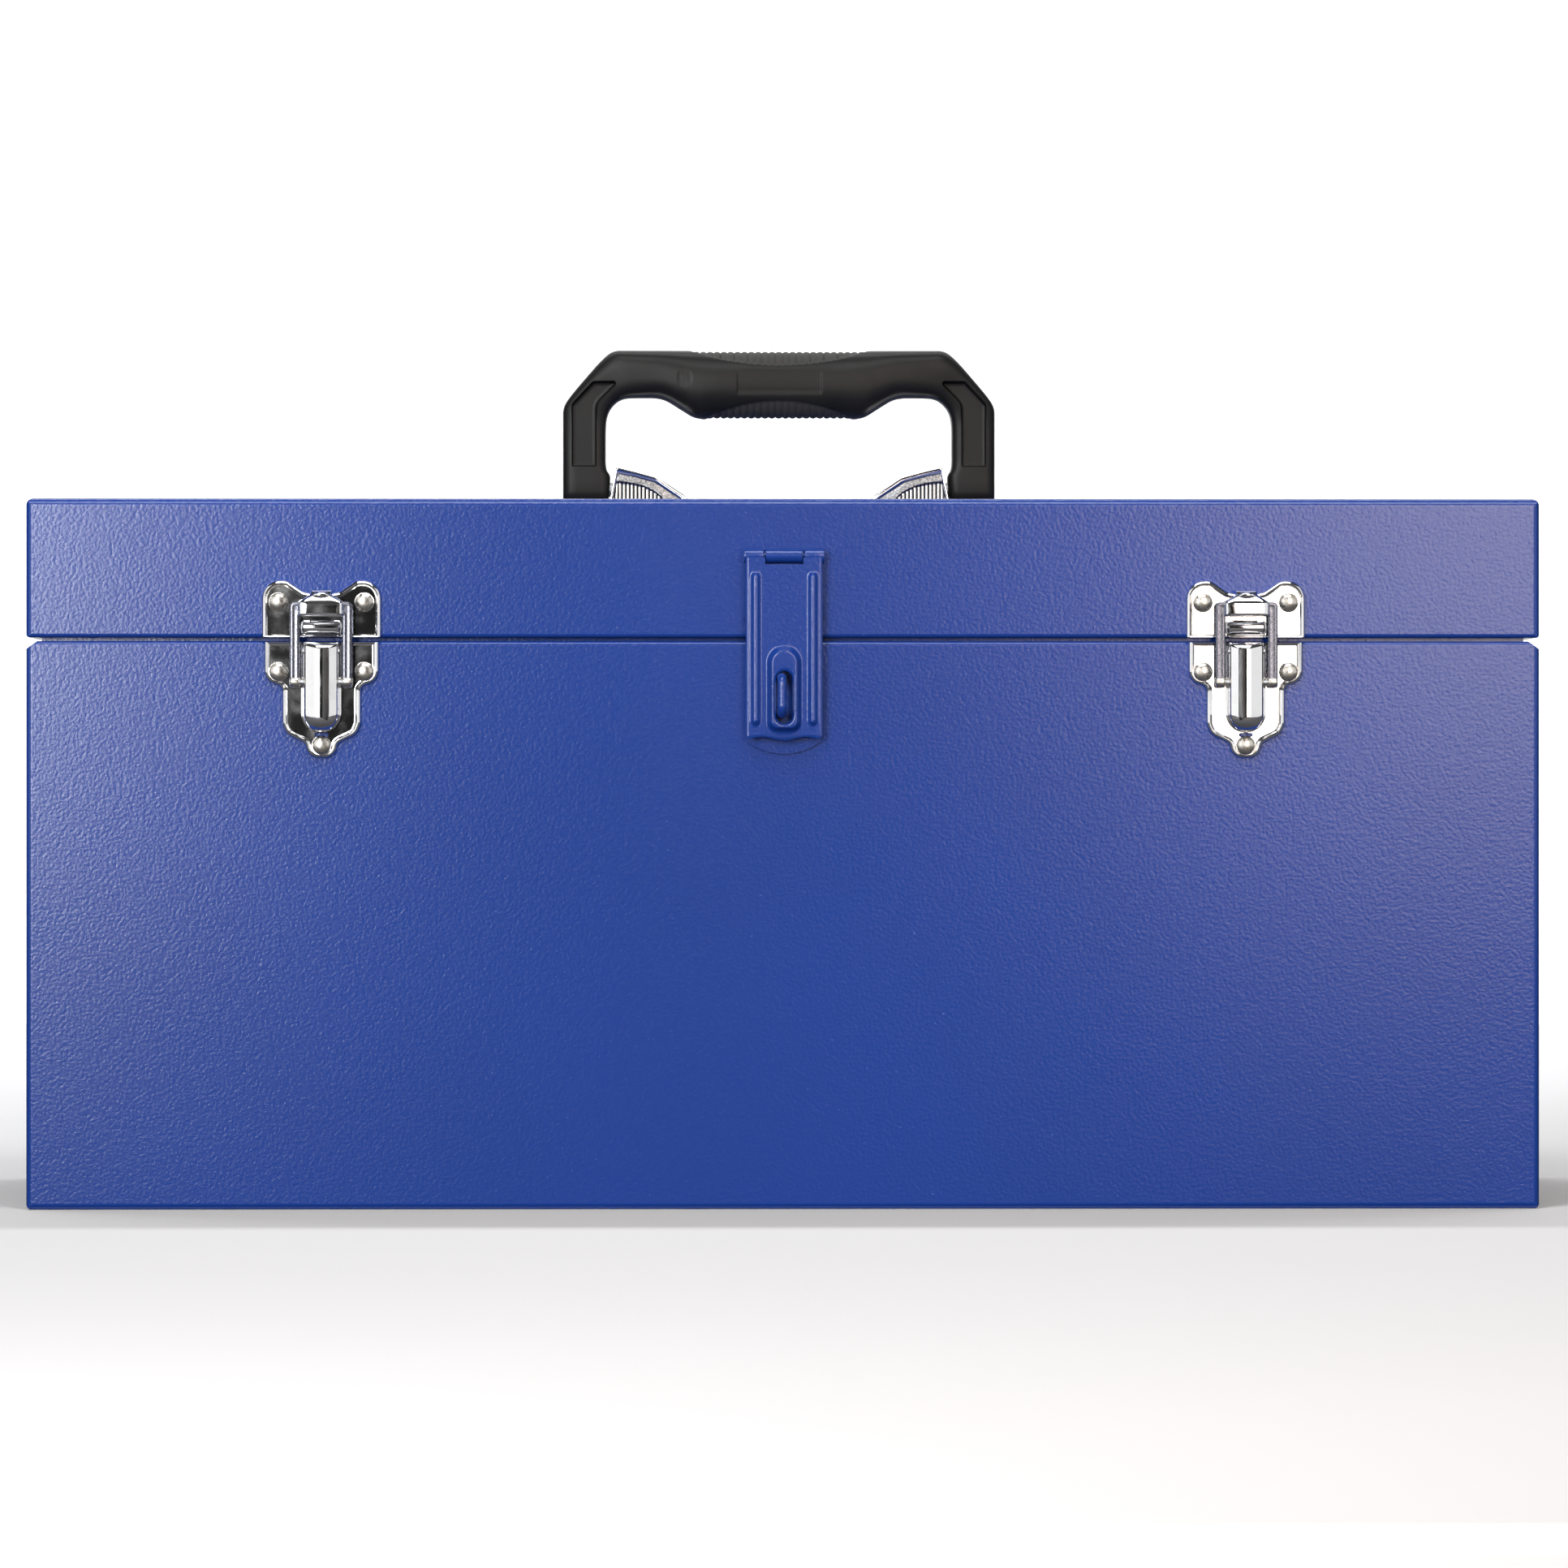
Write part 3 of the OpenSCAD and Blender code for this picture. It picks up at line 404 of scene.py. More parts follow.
class Nodes:
    """A node tree under construction."""

    def __init__(self, tree):
        self.tree = tree

    def add(self, kind, settings=None, inputs=None):
        """Adds a node, sets it up and feeds its sockets; a list feeds one socket many times."""
        made = self.tree.nodes.new(kind)
        for key, value in (settings or {}).items():
            if key == "stops":
                self.set_stops(made.color_ramp, value)
            else:
                setattr(made, key, value)
        for key, given in (inputs or {}).items():
            for value in given if isinstance(given, list) else [given]:
                if isinstance(value, Wire):
                    self.tree.links.new(value.socket, made.inputs[key])
                else:
                    made.inputs[key].default_value = value
        return made

    def node(self, kind, settings=None, inputs=None, output=0):
        """Adds a node and returns one of its outputs."""
        return Wire(self, self.add(kind, settings, inputs).outputs[output])

    def split(self, vector):
        """The three parts of a vector."""
        made = self.add("ShaderNodeSeparateXYZ", {}, {"Vector": vector})
        return [Wire(self, part) for part in made.outputs]

    @staticmethod
    def set_stops(ramp, stops):
        """Grey stops of a colour ramp, as (place, value)."""
        for i, (place, value) in enumerate(stops):
            stop = ramp.elements[i] if i < 2 else ramp.elements.new(place)
            stop.position = place
            stop.color = (value, value, value, 1)


class Finish(Nodes):
    """A material under construction."""

    def __init__(self, name):
        self.material = bpy.data.materials.new(name)
        self.material.use_nodes = True
        super().__init__(self.material.node_tree)
        self.tree.nodes.clear()

    def place(self):
        """The object's own coordinates."""
        return self.node("ShaderNodeTexCoord", output="Object")

    def noise(self, scale, detail=2, stretch=None, seed=0.0):
        """Noise over the object's own coordinates, in features of 1 / scale metres."""
        place = self.place()
        if stretch or seed:
            place = self.node("ShaderNodeMapping", {}, {
                "Vector": place, "Scale": stretch or (1, 1, 1), "Location": (seed, 0, 0)})
        return self.node("ShaderNodeTexNoise", {}, {
            "Vector": place, "Scale": scale, "Detail": detail}, "Fac")

    def ramp(self, value, *stops):
        """A value sent through grey stops."""
        return self.node("ShaderNodeValToRGB", {"stops": stops}, {"Fac": value})

    def mask(self):
        """The share of ribs or flutes that is stored on the mesh."""
        return self.node("ShaderNodeAttribute", {"attribute_name": "ribs"}, output="Fac")

    def mix(self, factor, first, second):
        """One colour turning into another."""
        return self.node("ShaderNodeMix", {"data_type": "RGBA"},
                         {0: factor, 6: first, 7: second}, 2)

    def bump(self, height, distance, strength=1.0, normal=None):
        """Fine relief from a height, over the relief of normal if that is given."""
        inputs = {"Height": height, "Distance": distance, "Strength": strength}
        if normal:
            inputs["Normal"] = normal
        return self.node("ShaderNodeBump", {}, inputs, "Normal")

    def surface(self, **sockets):
        """Ends the material in a Principled shader; names use _ for a space."""
        inputs = {key.replace("_", " "): value for key, value in sockets.items()}
        shader = self.node("ShaderNodeBsdfPrincipled", {}, inputs)
        self.add("ShaderNodeOutputMaterial", {}, {"Surface": shader})
        return self.material


# ---- Finishes ----

def rgba(value, scale=1.0):
    """A scaled colour with full cover."""
    return tuple(channel * scale for channel in value) + (1,)


def powder_coat():
    """Satin powder coat: fine orange peel, slow drift of tone and rare pale specks."""
    look = bpy.context.scene.tool_box_finish
    finish = Finish("powder_coat")
    drift = finish.ramp(finish.noise(5, 2), (0.35, 0), (0.7, 1))
    tone = finish.mix(drift, rgba(look.paint, 0.93), rgba(look.paint, 1.07))
    grain = finish.noise(1500, 2, seed=3.0)
    tone = finish.mix(finish.ramp(grain, (0.3, 0), (0.75, 0.28)), tone, rgba(look.paint, 1.35))
    speck = finish.ramp(finish.noise(700, 1, seed=7.0), (0.79, 0), (0.82, 0.35))
    tone = finish.mix(speck, tone, (0.10, 0.16, 0.45, 1))
    peel = finish.noise(900, 2)
    normal = finish.bump(peel, 0.00014, 0.5)
    normal = finish.bump(grain, 0.00003, 0.35, normal)
    return finish.surface(Base_Color=tone, Roughness=look.paint_roughness - 0.05 + 0.1 * peel,
                          Normal=normal, Specular_IOR_Level=0.5)


def chrome_plate():
    """Bright plating over a pressing: mirror finish, gently wavy, a few dull patches."""
    look = bpy.context.scene.tool_box_finish
    finish = Finish("chrome_plate")
    patches = finish.ramp(finish.noise(160, 3), (0.45, 0), (0.8, 1))
    tone = finish.mix(patches, rgba(look.chrome), rgba(look.chrome, 0.9))
    pits = finish.noise(2600, 2, seed=2.0)
    wave = finish.noise(210, 1, seed=5.0)
    normal = finish.bump(wave, 0.00003, 0.25)
    normal = finish.bump(pits, 0.000003, 0.2, normal)
    return finish.surface(Base_Color=tone, Metallic=1.0, Normal=normal,
                          Roughness=look.chrome_roughness - 0.02 + 0.07 * patches + 0.03 * pits)


def satin_plate():
    """Duller, slightly warm plating of the riveted heads."""
    return dull_plate("satin_plate", bpy.context.scene.tool_box_finish.satin)


def pressed_plate():
    """Plating dulled by deep pressing, on the links' arms."""
    return dull_plate("pressed_plate", bpy.context.scene.tool_box_finish.pressed)


def raw_plate():
    """Unpolished plating of the backing plate inside the lid."""
    return dull_plate("raw_plate", bpy.context.scene.tool_box_finish.pressed, 0.5)


def dull_plate(name, base, roughness=0.24):
    """Plating with a fine bloom, of the given base tone and lowest roughness."""
    finish = Finish(name)
    dust = finish.ramp(finish.noise(900, 3), (0.4, 0), (0.75, 1))
    tone = finish.mix(dust, rgba(base), rgba(base, 0.8))
    pits = finish.noise(3000, 2, seed=2.0)
    return finish.surface(Base_Color=tone, Metallic=1.0, Roughness=roughness + 0.14 * dust,
                          Normal=finish.bump(pits, 0.00004, 0.5))


def fluted_plate():
    """Plating of the brackets' walls: polished on the flutes, dull on the border round them, with painted shade
    darkening the grooves between the flutes.
    """
    look = bpy.context.scene.tool_box_finish
    finish = Finish("fluted_plate")
    flutes = finish.mask()
    dust = finish.ramp(finish.noise(1400, 3), (0.35, 0), (0.7, 1))
    dull = finish.mix(dust, rgba(look.zinc, 0.8), rgba(look.zinc, 0.12))
    # Painted shade: the flutes' base colour falls almost to black in the grooves between them and is lighter on
    # their crests.
    half_waves = math.pi / bpy.context.scene.tool_box_grip.flute_pitch
    across = finish.split(finish.place())[0]
    crest = (across * half_waves).math("COSINE").math("ABSOLUTE") ** RIDGE_ROUNDNESS
    flutes_with_painted_shade = finish.mix(finish.ramp(crest, (0.45, 0), (0.8, 1)), rgba(look.zinc, 0.03),
                        rgba(look.zinc, 0.55))
    tone = finish.mix(flutes, dull, flutes_with_painted_shade)
    return finish.surface(Base_Color=tone, Metallic=1.0, Roughness=0.32 - 0.14 * flutes,
                          Normal=finish.bump(finish.noise(2600, 2, seed=2.0), 0.00001, 0.4))


def moulded_plastic():
    """Black satin plastic with a fine moulded grain, duller and greyer on its ribbed pads."""
    look = bpy.context.scene.tool_box_finish
    finish = Finish("moulded_plastic")
    pads = finish.mask()
    drift = finish.ramp(finish.noise(45, 3), (0.35, 0), (0.75, 1))
    tone = finish.mix(drift, rgba(look.plastic, 0.85), rgba(look.plastic, 1.35))
    tone = finish.mix(pads * 0.75, tone, rgba(look.plastic, 6))
    grain = finish.noise(2400, 3)
    rubbed = finish.noise(130, 3, seed=4.0)
    roughness = look.plastic_roughness - 0.06 + 0.12 * rubbed + 0.12 * pads
    return finish.surface(Base_Color=tone, Roughness=roughness, Specular_IOR_Level=0.17,
                          Normal=finish.bump(grain, 0.00005, 0.4))


def zinc_steel():
    """Plain plated steel with fine drawn lines along X."""
    look = bpy.context.scene.tool_box_finish
    finish = Finish("zinc_steel")
    lines = finish.noise(900, 3, stretch=(0.04, 1, 1))
    bloom = finish.ramp(finish.noise(60, 3), (0.4, 0), (0.75, 1))
    tone = finish.mix(bloom, rgba(look.zinc, 0.85), rgba(look.zinc, 1.1))
    roughness = 0.36 + 0.16 * lines + 0.1 * bloom
    return finish.surface(Base_Color=tone, Metallic=1.0, Roughness=roughness,
                          Normal=finish.bump(lines, 0.00003, 0.4))


def plain_finish(name, value, roughness):
    """A stage finish of one tone with a faint haze."""
    finish = Finish(name)
    haze = finish.noise(2, 2)
    return finish.surface(Base_Color=finish.mix(haze, rgba(value, 0.98), rgba(value, 1.0)),
                          Roughness=roughness)


def pale_surround():
    """Evenly bright stage finish."""
    finish = Finish("pale_surround")
    haze = finish.noise(0.4, 1)
    tone = finish.mix(haze, (0.80, 0.80, 0.81, 1), (0.86, 0.86, 0.86, 1))
    return finish.surface(Base_Color=(0, 0, 0, 1), Roughness=1.0, Emission_Color=tone,
                          Emission_Strength=1.0)


def black_cloth():
    """Cloth that only darkens reflections."""
    return plain_finish("black_cloth", (0.003, 0.003, 0.003), 1.0)


def grey_mat():
    """Mat that takes up most of the floor's bounce."""
    return plain_finish("grey_mat", (0.07, 0.07, 0.075), 1.0)


def material(name):
    """The named finish, made when it is first asked for."""
    makers = {
        "powder_coat": powder_coat, "chrome_plate": chrome_plate, "satin_plate": satin_plate,
        "pressed_plate": pressed_plate, "raw_plate": raw_plate, "fluted_plate": fluted_plate,
        "moulded_plastic": moulded_plastic, "zinc_steel": zinc_steel,
        "pale_surround": pale_surround, "black_cloth": black_cloth, "grey_mat": grey_mat,
    }
    return bpy.data.materials.get(name) or makers[name]()


# ---- Geometry node trees ----

class Weave(Nodes):
    """A geometry node tree under construction; it takes a mesh, lengths and a material."""

    def __init__(self, name, *lengths):
        super().__init__(bpy.data.node_groups.new(name, "GeometryNodeTree"))
        self.new_socket("Geometry", "NodeSocketGeometry", "OUTPUT")
        self.sockets = {"Geometry": self.new_socket("Geometry", "NodeSocketGeometry")}
        for label in lengths:
            self.sockets[label] = self.new_socket(label, "NodeSocketFloat")
        self.sockets["Material"] = self.new_socket("Material", "NodeSocketMaterial")
        self.start = self.add("NodeGroupInput")

    def new_socket(self, label, kind, way="INPUT"):
        """Adds a socket to the outside of the tree and returns its identifier."""
        made = self.tree.interface.new_socket(label, in_out=way, socket_type=kind)
        return made.identifier

    def given(self, label):
        """What the tree is given under that label."""
        return Wire(self, self.start.outputs[label])

    def end(self, geometry):
        """Realizes the instances, sets the material and closes the tree."""
        real = self.node("GeometryNodeRealizeInstances", {}, {"Geometry": geometry})
        dressed = self.node("GeometryNodeSetMaterial", {}, {
            "Geometry": real, "Material": self.given("Material")})
        self.add("NodeGroupOutput", {}, {"Geometry": dressed})
        return self

    def apply(self, piece, values, crease=CREASE):
        """Runs the tree on a piece and keeps the result as its mesh."""
        modifier = piece.modifiers.new(self.tree.name, "NODES")
        modifier.node_group = self.tree
        for label, value in values.items():
            modifier[self.sockets[label]] = value
        settle(piece, crease)


def rivet_weave():
    """A domed rivet on every point of the mesh, its head out of the front wall."""
    weave = Weave("domed_rivets", "Head Radius", "Head Height", "Grip", "Tail Radius",
                  "Tail Height")
    grip, tail_radius = weave.given("Grip"), weave.given("Tail Radius")
    head = half_ball(weave, weave.given("Head Radius"), weave.given("Head Height"))
    tail = half_ball(weave, tail_radius, weave.given("Tail Height"))
    tail = lifted(weave, tail, grip * -1, (math.pi, 0, 0))
    shank = weave.node("GeometryNodeMeshCylinder", {}, {
        "Vertices": 16, "Radius": tail_radius * 0.6, "Depth": grip})
    shank = lifted(weave, shank, grip * -0.5)
    rivet = weave.node("GeometryNodeJoinGeometry", {}, {0: [head, tail, shank]})
    turned = weave.node("FunctionNodeAlignEulerToVector", {"axis": "Z"}, {"Vector": (0, -1, 0)})
    return weave.end(weave.node("GeometryNodeInstanceOnPoints", {}, {
        "Points": weave.given("Geometry"), "Instance": rivet, "Rotation": turned}))


def lifted(weave, shape, height, rotation=(0, 0, 0)):
    """A shape turned about the origin and then moved along Z."""
    shift = weave.node("ShaderNodeCombineXYZ", {}, {2: height})
    return weave.node("GeometryNodeTransform", {}, {
        "Geometry": shape, "Translation": shift, "Rotation": rotation})


def half_ball(weave, radius, height):
    """A flattened half ball on Z = 0, closed underneath."""
    ball = weave.node("GeometryNodeMeshUVSphere", {}, {"Segments": 32, "Rings": 20, "Radius": 1.0})
    x, y, z = weave.split(weave.node("GeometryNodeInputPosition"))
    spot = weave.node("ShaderNodeCombineXYZ", {}, {
        0: x * radius, 1: y * radius, 2: z.math("MAXIMUM", 0.0) * height})
    return weave.node("GeometryNodeSetPosition", {}, {"Geometry": ball, "Position": spot})


def ridge_weave():
    """Ridges side by side along X, cut along the normals where the ribs attribute is set."""
    weave = Weave("ridges_across", "Pitch", "Depth")
    turns = weave.split(weave.node("GeometryNodeInputPosition"))[0] / weave.given("Pitch")
    wave = (turns * math.pi).math("COSINE").math("ABSOLUTE")
    mask = weave.node("GeometryNodeInputNamedAttribute", {"data_type": "FLOAT"}, {"Name": "ribs"})
    depth = (wave ** RIDGE_ROUNDNESS - 1.0) * mask * weave.given("Depth")
    normal = weave.node("GeometryNodeInputNormal")
    offset = weave.node("ShaderNodeVectorMath", {"operation": "SCALE"},
                        {0: normal, "Scale": depth})
    return weave.end(weave.node("GeometryNodeSetPosition", {}, {
        "Geometry": weave.given("Geometry"), "Offset": offset}))


# ---- Latches ----

# Places on the wall are (x, y) from a latch's middle line and the seam, in millimetres
BASE_RIVETS = [(-14.4, -10.9), (14.4, -10.9), (0, -35.6)]
STRIKE_RIVETS = [(-14.4, 12.4), (14.4, 12.4)]
BASE_FLOOR = 1.4
STRIKE_FLOOR = 1.2
BASE_SHEAR = (-1.0, 3)  # heights between which a plate is cut away straight
STRIKE_SHEAR = (-3, 0.8)
RIVET_TAIL = (2.6, 0.9)  # radius and height of a rivet's inner end
TIP_SLOT = [(2.35, -32.7, 0.5), (2.35, -31.3, 0.5)]

# The strike's rods: name, half length, height, radius and rounding of the ends
STRIKE_RODS = [("roll", 6.8, 3.9, 2.6, 1.2), ("hook", 4.5, 11.5, 2.3, 0.8)]

# Side view of an ear as (out, y, radius), and its edge as (along, inset)
EAR_X = 4.1
EAR_OUTLINE = [(1.4, -11.2, 0.3), (6.6, -5.9, 1.55), (5.9, -2.2, 1.5), (1.4, -6.9, 0.3)]
EAR_EDGE = [(-0.5, 0.15), (-0.35, 0), (0.35, 0), (0.5, 0.15)]


def border(sizes, floor):
    """Edge profile of a pressed plate: a rolled border round a lower floor."""
    rise, width = sizes.border_rise / MM, sizes.border_width / MM
    return [(0, 0), (0, 0.7), (0.1, 0.66 * rise), (0.24 * width, 0.9 * rise),
            (0.48 * width, rise), (0.7 * width, rise - 0.25 * (rise - floor)),
            (0.88 * width, floor + 0.25 * (rise - floor)), (width, floor), (1.2 * width, floor)]


def base_corners(half, waist):
    """Outline of a base plate: wide under its two rivets, narrow below them."""
    return mirrored([(4.7, -39.8, 4.3), (5.5, -34.9, 2.2), (waist - 1.4, -31.9, 4.6),
                     (waist, -28.5, 5), (waist, -15.5, 2.4), (half, -14.6, 4.8), (half, 0.1, 0.5)])


def strike_corners():
    """Outline of a catch plate, with the notch in its top."""
    return mirrored([(20, -0.3, 0.5), (20, 19.9, 6.2), (11.8, 19.8, 4), (6.2, 16.0, 3),
                     (3.2, 15.4, 0.5)])


def trim(piece, heights, centre_x, chrome):
    """Shears a plate off straight between two heights, through its pressed border."""
    past_edge, sharp = 24, 0.01
    strip = mirrored([(past_edge, height, sharp) for height in heights])
    cut(piece, plate("shear", strip, [(0, -1), (0, 6)], chrome, centre_x))


def ear(x, chrome):
    """One of the two upright ears that hold the lever's pin."""
    rings = [[on_wall(x + along, p.y, p.x) for p in rounded(taken_in(EAR_OUTLINE, inset), 5)]
             for along, inset in EAR_EDGE]
    return new_piece("ear", *bridge(rings), chrome)


def latch_base(side, chrome):
    """Base plate with its pressed border, ears and the slot under the lever's tip."""
    sizes = bpy.context.scene.tool_box_latch
    x = SIDES[side] * LATCH_X
    corners = base_corners(sizes.plate_half / MM, sizes.waist_half / MM)
    body = plate("base_plate", corners, border(sizes, BASE_FLOOR), chrome, x)
    trim(body, BASE_SHEAR, x, chrome)
    cut(body, plate("slot", mirrored(TIP_SLOT), [(0, -1), (0, 3)], chrome, x))
    ears = [ear(x + sign * EAR_X, chrome) for sign in (-1, 1)]
    whole = joined(f"{side}_latch_plate", [body] + ears)
    dress(whole, "box", "chrome", f"{side}_latch_base")


def strike(side, chrome):
    """Catch plate on the lid, with its roll and the hook behind the hood."""
    sizes = bpy.context.scene.tool_box_latch
    x = SIDES[side] * LATCH_X
    body = plate("catch_plate", strike_corners(), border(sizes, STRIKE_FLOOR), chrome, x)
    trim(body, STRIKE_SHEAR, x, chrome)
    rods = [rod_across(name, x, half, y, STRIKE_FLOOR, radius, chrome, end_round)
            for name, half, y, radius, end_round in STRIKE_RODS]
    whole = joined(f"{side}_catch_plate", [body] + rods)
    dress(whole, "lid", "chrome", f"{side}_strike")


def cap_section(half, rise):
    """Half-round section of the lever, from its left rim over the crown to its right rim."""
    rim_high, rim_width, arch_half, arch_fall, steps = 3.0, 0.7, 0.88, 0.42, 12
    rim = [(half, 2.0), (half, 2.5), (half - 0.12, 2.8), (half - 0.45, 2.92)]
    side = [(1.0, 0.0), (0.998, 0.2), (0.99, 0.38), (0.97, 0.5), (0.935, 0.59)]
    shares = [arch_half * (1 - i / steps) for i in range(steps + 1)]
    arch = [(share_out, 1 - arch_fall * share_out ** 2) for share_out in shares]
    dome_half = half - rim_width
    right = rim + [(dome_half * across, rim_high + (rise - rim_high) * share_up)
                   for across, share_up in side + arch]
    return [(-x, out) for x, out in right] + right[-2::-1]


def lever(side, chrome):
    """Drawn cap of the lever: rolled over its pin at the top, round and sloped at the tip."""
    sizes = bpy.context.scene.tool_box_latch
    half, rise = sizes.cap_half / MM, sizes.cap_rise / MM
    pivot_y, pivot_out, end_radius = -4.1, 5.0, 3.1
    tip_centre = -31.3 + half
    slope_from, slope_run, slope_round = -26.2, 5.1, 0.62
    tip_crown, least_crown = 2.9, 3.05
    stations = [pivot_y + end_radius * math.cos(a) for a in quarter(8)]
    stations += [pivot_y - (pivot_y - tip_centre) * i / 10 for i in range(1, 11)]
    stations += [tip_centre - half * math.sin(a) for a in quarter(22)[1:-1]]
    rings = []
    for y in stations:
        width, crown = 1.0, rise
        if y > pivot_y:
            crown = pivot_out + math.sqrt(max(end_radius ** 2 - (y - pivot_y) ** 2, 0))
        if y < tip_centre:
            width = math.sqrt(max(1 - ((tip_centre - y) / half) ** 2, 0))
        if y < slope_from:
            fall = min((slope_from - y) / slope_run, 1)
            crown = tip_crown + (rise - tip_crown) * (1 - fall ** 2) ** slope_round
        section = cap_section(half, max(crown, least_crown))
        rings.append([on_wall(SIDES[side] * LATCH_X + x * width, y, out) for x, out in section])
    cap = new_piece(f"{side}_lever_cap", *bridge(rings, closed=False, caps=False), chrome)
    face_out(cap)
    dress(thicken(cap, DRAWN_WALL), f"{side}_lever", "chrome", f"{side}_lever")


def face_out(skin):
    """Turns an open skin so that most of its area looks out of the front wall."""
    area = sum(face.normal.y * face.area for face in skin.data.polygons)
    if area > 0:
        skin.data.flip_normals()


# Edge of a link's arm from the back to the front, as (inset, out)
ARM_EDGE = [(0.3, 4.9), (0, 5.1), (0, 5.6), (0.1, 5.85), (0.3, 6.0), (0.6, 6.08), (0.9, 6.1),
            (1.3, 6.04), (1.55, 6.0)]


def link(side, chrome):
    """Link with two soft-edged arms, round knobs on its pin and a domed hood."""
    sizes = bpy.context.scene.tool_box_latch
    x = SIDES[side] * LATCH_X
    width = sizes.arm_width / MM
    inner, step_in = 7.1, 6.2
    outer = inner + width
    knob_y, knob_out, knob_radius, knob_round, knob_around = -14.4, 4.8, 1.95, 0.8, 24
    right_arm = [(inner, -15.2, 0.4), (outer, -15.2, 0.4), (outer, 12.4, 1.7),
                 (step_in, 12.6, 0.3), (step_in, 8.0, 0.3), (inner, 8.0, 0.3)]
    left_arm = [(-px, py, r) for px, py, r in reversed(right_arm)]
    parts = []
    for sign, arm in ((-1, left_arm), (1, right_arm)):
        parts.append(plate("arm", arm, ARM_EDGE, material("pressed_plate"), x))
        middle = x + sign * ((inner + outer) / 2)
        parts.append(rod_across("knob", middle, width / 2, knob_y, knob_out, knob_radius,
                                material("satin_plate"), knob_round, knob_around))
    parts.append(hood(x, chrome))
    dress(joined(f"{side}_link_frame", parts), f"{side}_link", "chrome", f"{side}_link")


# Side view of the hood's front from its low end up, as (y, out)
HOOD_PROFILE = [
    (8.1, 5.2), (7.8, 6.2), (7.7, 7.4), (7.8, 8.2), (8.2, 8.4), (9.4, 8.42), (11.2, 8.15),
    (12.6, 7.8), (13.8, 7.2), (14.8, 6.5), (15.7, 5.6), (16.3, 4.8), (16.5, 3.95),
]
HOOD_BACK = 3.95


def hood(x, chrome):
    """Hollow hood of the link: a face that leans back, sloping shoulders, and an oval nub."""
    low_half, high_half, shoulder, slope = 7.8, 3.6, 11.9, 3.4
    columns, squareness, spread_power, edge_out, crown_out = 32, 8, 0.92, 0.45, 0.55
    crease = 50
    rings = []
    for y, out in corner_cut(HOOD_PROFILE):
        half = low_half - (low_half - high_half) * soft(y - shoulder, slope)
        ring = []
        for j in range(columns + 1):
            u = -1 + 2 * j / columns
            reach = edge_out + crown_out * math.sqrt(1 - abs(u) ** squareness)
            ring.append(on_wall(x + half * power(u, spread_power), y,
                                HOOD_BACK + (out - HOOD_BACK) * reach))
        rings.append(ring)
    shell = new_piece("hood", *bridge(rings, closed=False, caps=False), chrome, crease)
    face_out(shell)
    thicken(shell, DRAWN_WALL, crease)
    nub_y, nub_out, nub_half, nub_up, nub_rise, nub_lean = 14.3, 6.2, 3.1, 1.35, 1.6, 0.5
    nub = []
    for tilt in quarter(8):
        height, spread = math.sin(tilt), max(math.cos(tilt), 0.02)
        nub.append([on_wall(x + nub_half * spread * math.cos(a),
                            nub_y + nub_up * spread * math.sin(a) + nub_lean * height,
                            nub_out + nub_rise * height) for a in full_turn(28)])
    return joined("hood", [shell, new_piece("nub", *bridge(nub), chrome)], crease)


def rivet_row(name, places, floor, body, node):
    """Domed rivets of both latches, at places (x, y) on plates with a floor of that height."""
    sizes = bpy.context.scene.tool_box_latch
    points = [on_wall(sign * LATCH_X + x, y, floor) for sign in (-1, 1) for x, y in places]
    row = placed(name, mesh_of(name, points, []))
    tail_radius, tail_height = RIVET_TAIL
    rivet_weave().apply(row, {
        "Head Radius": sizes.rivet_radius, "Head Height": sizes.rivet_rise,
        "Grip": (floor + SHEET) * MM, "Tail Radius": tail_radius * MM,
        "Tail Height": tail_height * MM, "Material": material("satin_plate")})
    dress(row, body, "chrome", node)


class TOOLBOX_OT_latches(bpy.types.Operator):
    """Build both draw latches with their rivets"""
    bl_idname = "toolbox.latches"
    bl_label = "Draw Latches"

    def execute(self, context):
        chrome = material("chrome_plate")
        for side in SIDES:
            latch_base(side, chrome)
            strike(side, chrome)
            lever(side, chrome)
            link(side, chrome)
        rivet_row("latch_plate_rivets", BASE_RIVETS, BASE_FLOOR, "box", "latch_base_rivets")
        rivet_row("catch_plate_rivets", STRIKE_RIVETS, STRIKE_FLOOR, "lid", "strike_rivets")
        return {"FINISHED"}


# ---- Hasp ----

# The strap stands off the wall by its floor; heights are from the seam
STRAP_FLOOR = 5.4
STRAP_LOW = -33.3
STRAP_HIGH = 27.4
STRAP_CORNER = 1.6
HASP_PIN = (28.0, 2.8)
BOSS_HALF = 5.9
BOSS_LOW = -31.3
BOSS_HIGH = -2.1
SLOT_LOW = -28.4
SLOT_HIGH = -10.6
BOSS_CORNER = 3.6
RIB_X, RIB_LOW, RIB_HIGH, RIB_HALF = 9.6, -29.2, 22.7, 1.85
RIB_FLANK, BOSS_FLANK = 1.5, 1.9
STRAP_CREASE = 45


def capsule(x, y, low, high, radius):
    """How far inside an upright round-ended strip a point is."""
    return radius - math.hypot(x, y - min(max(y, low + radius), high - radius))


def edge_roll(inside, drop, reach):
    """How far a rolled edge drops: all of it at the edge, and nothing from reach inward."""
    return drop * (1 - min(max(inside, 0) / reach, 1)) ** 2


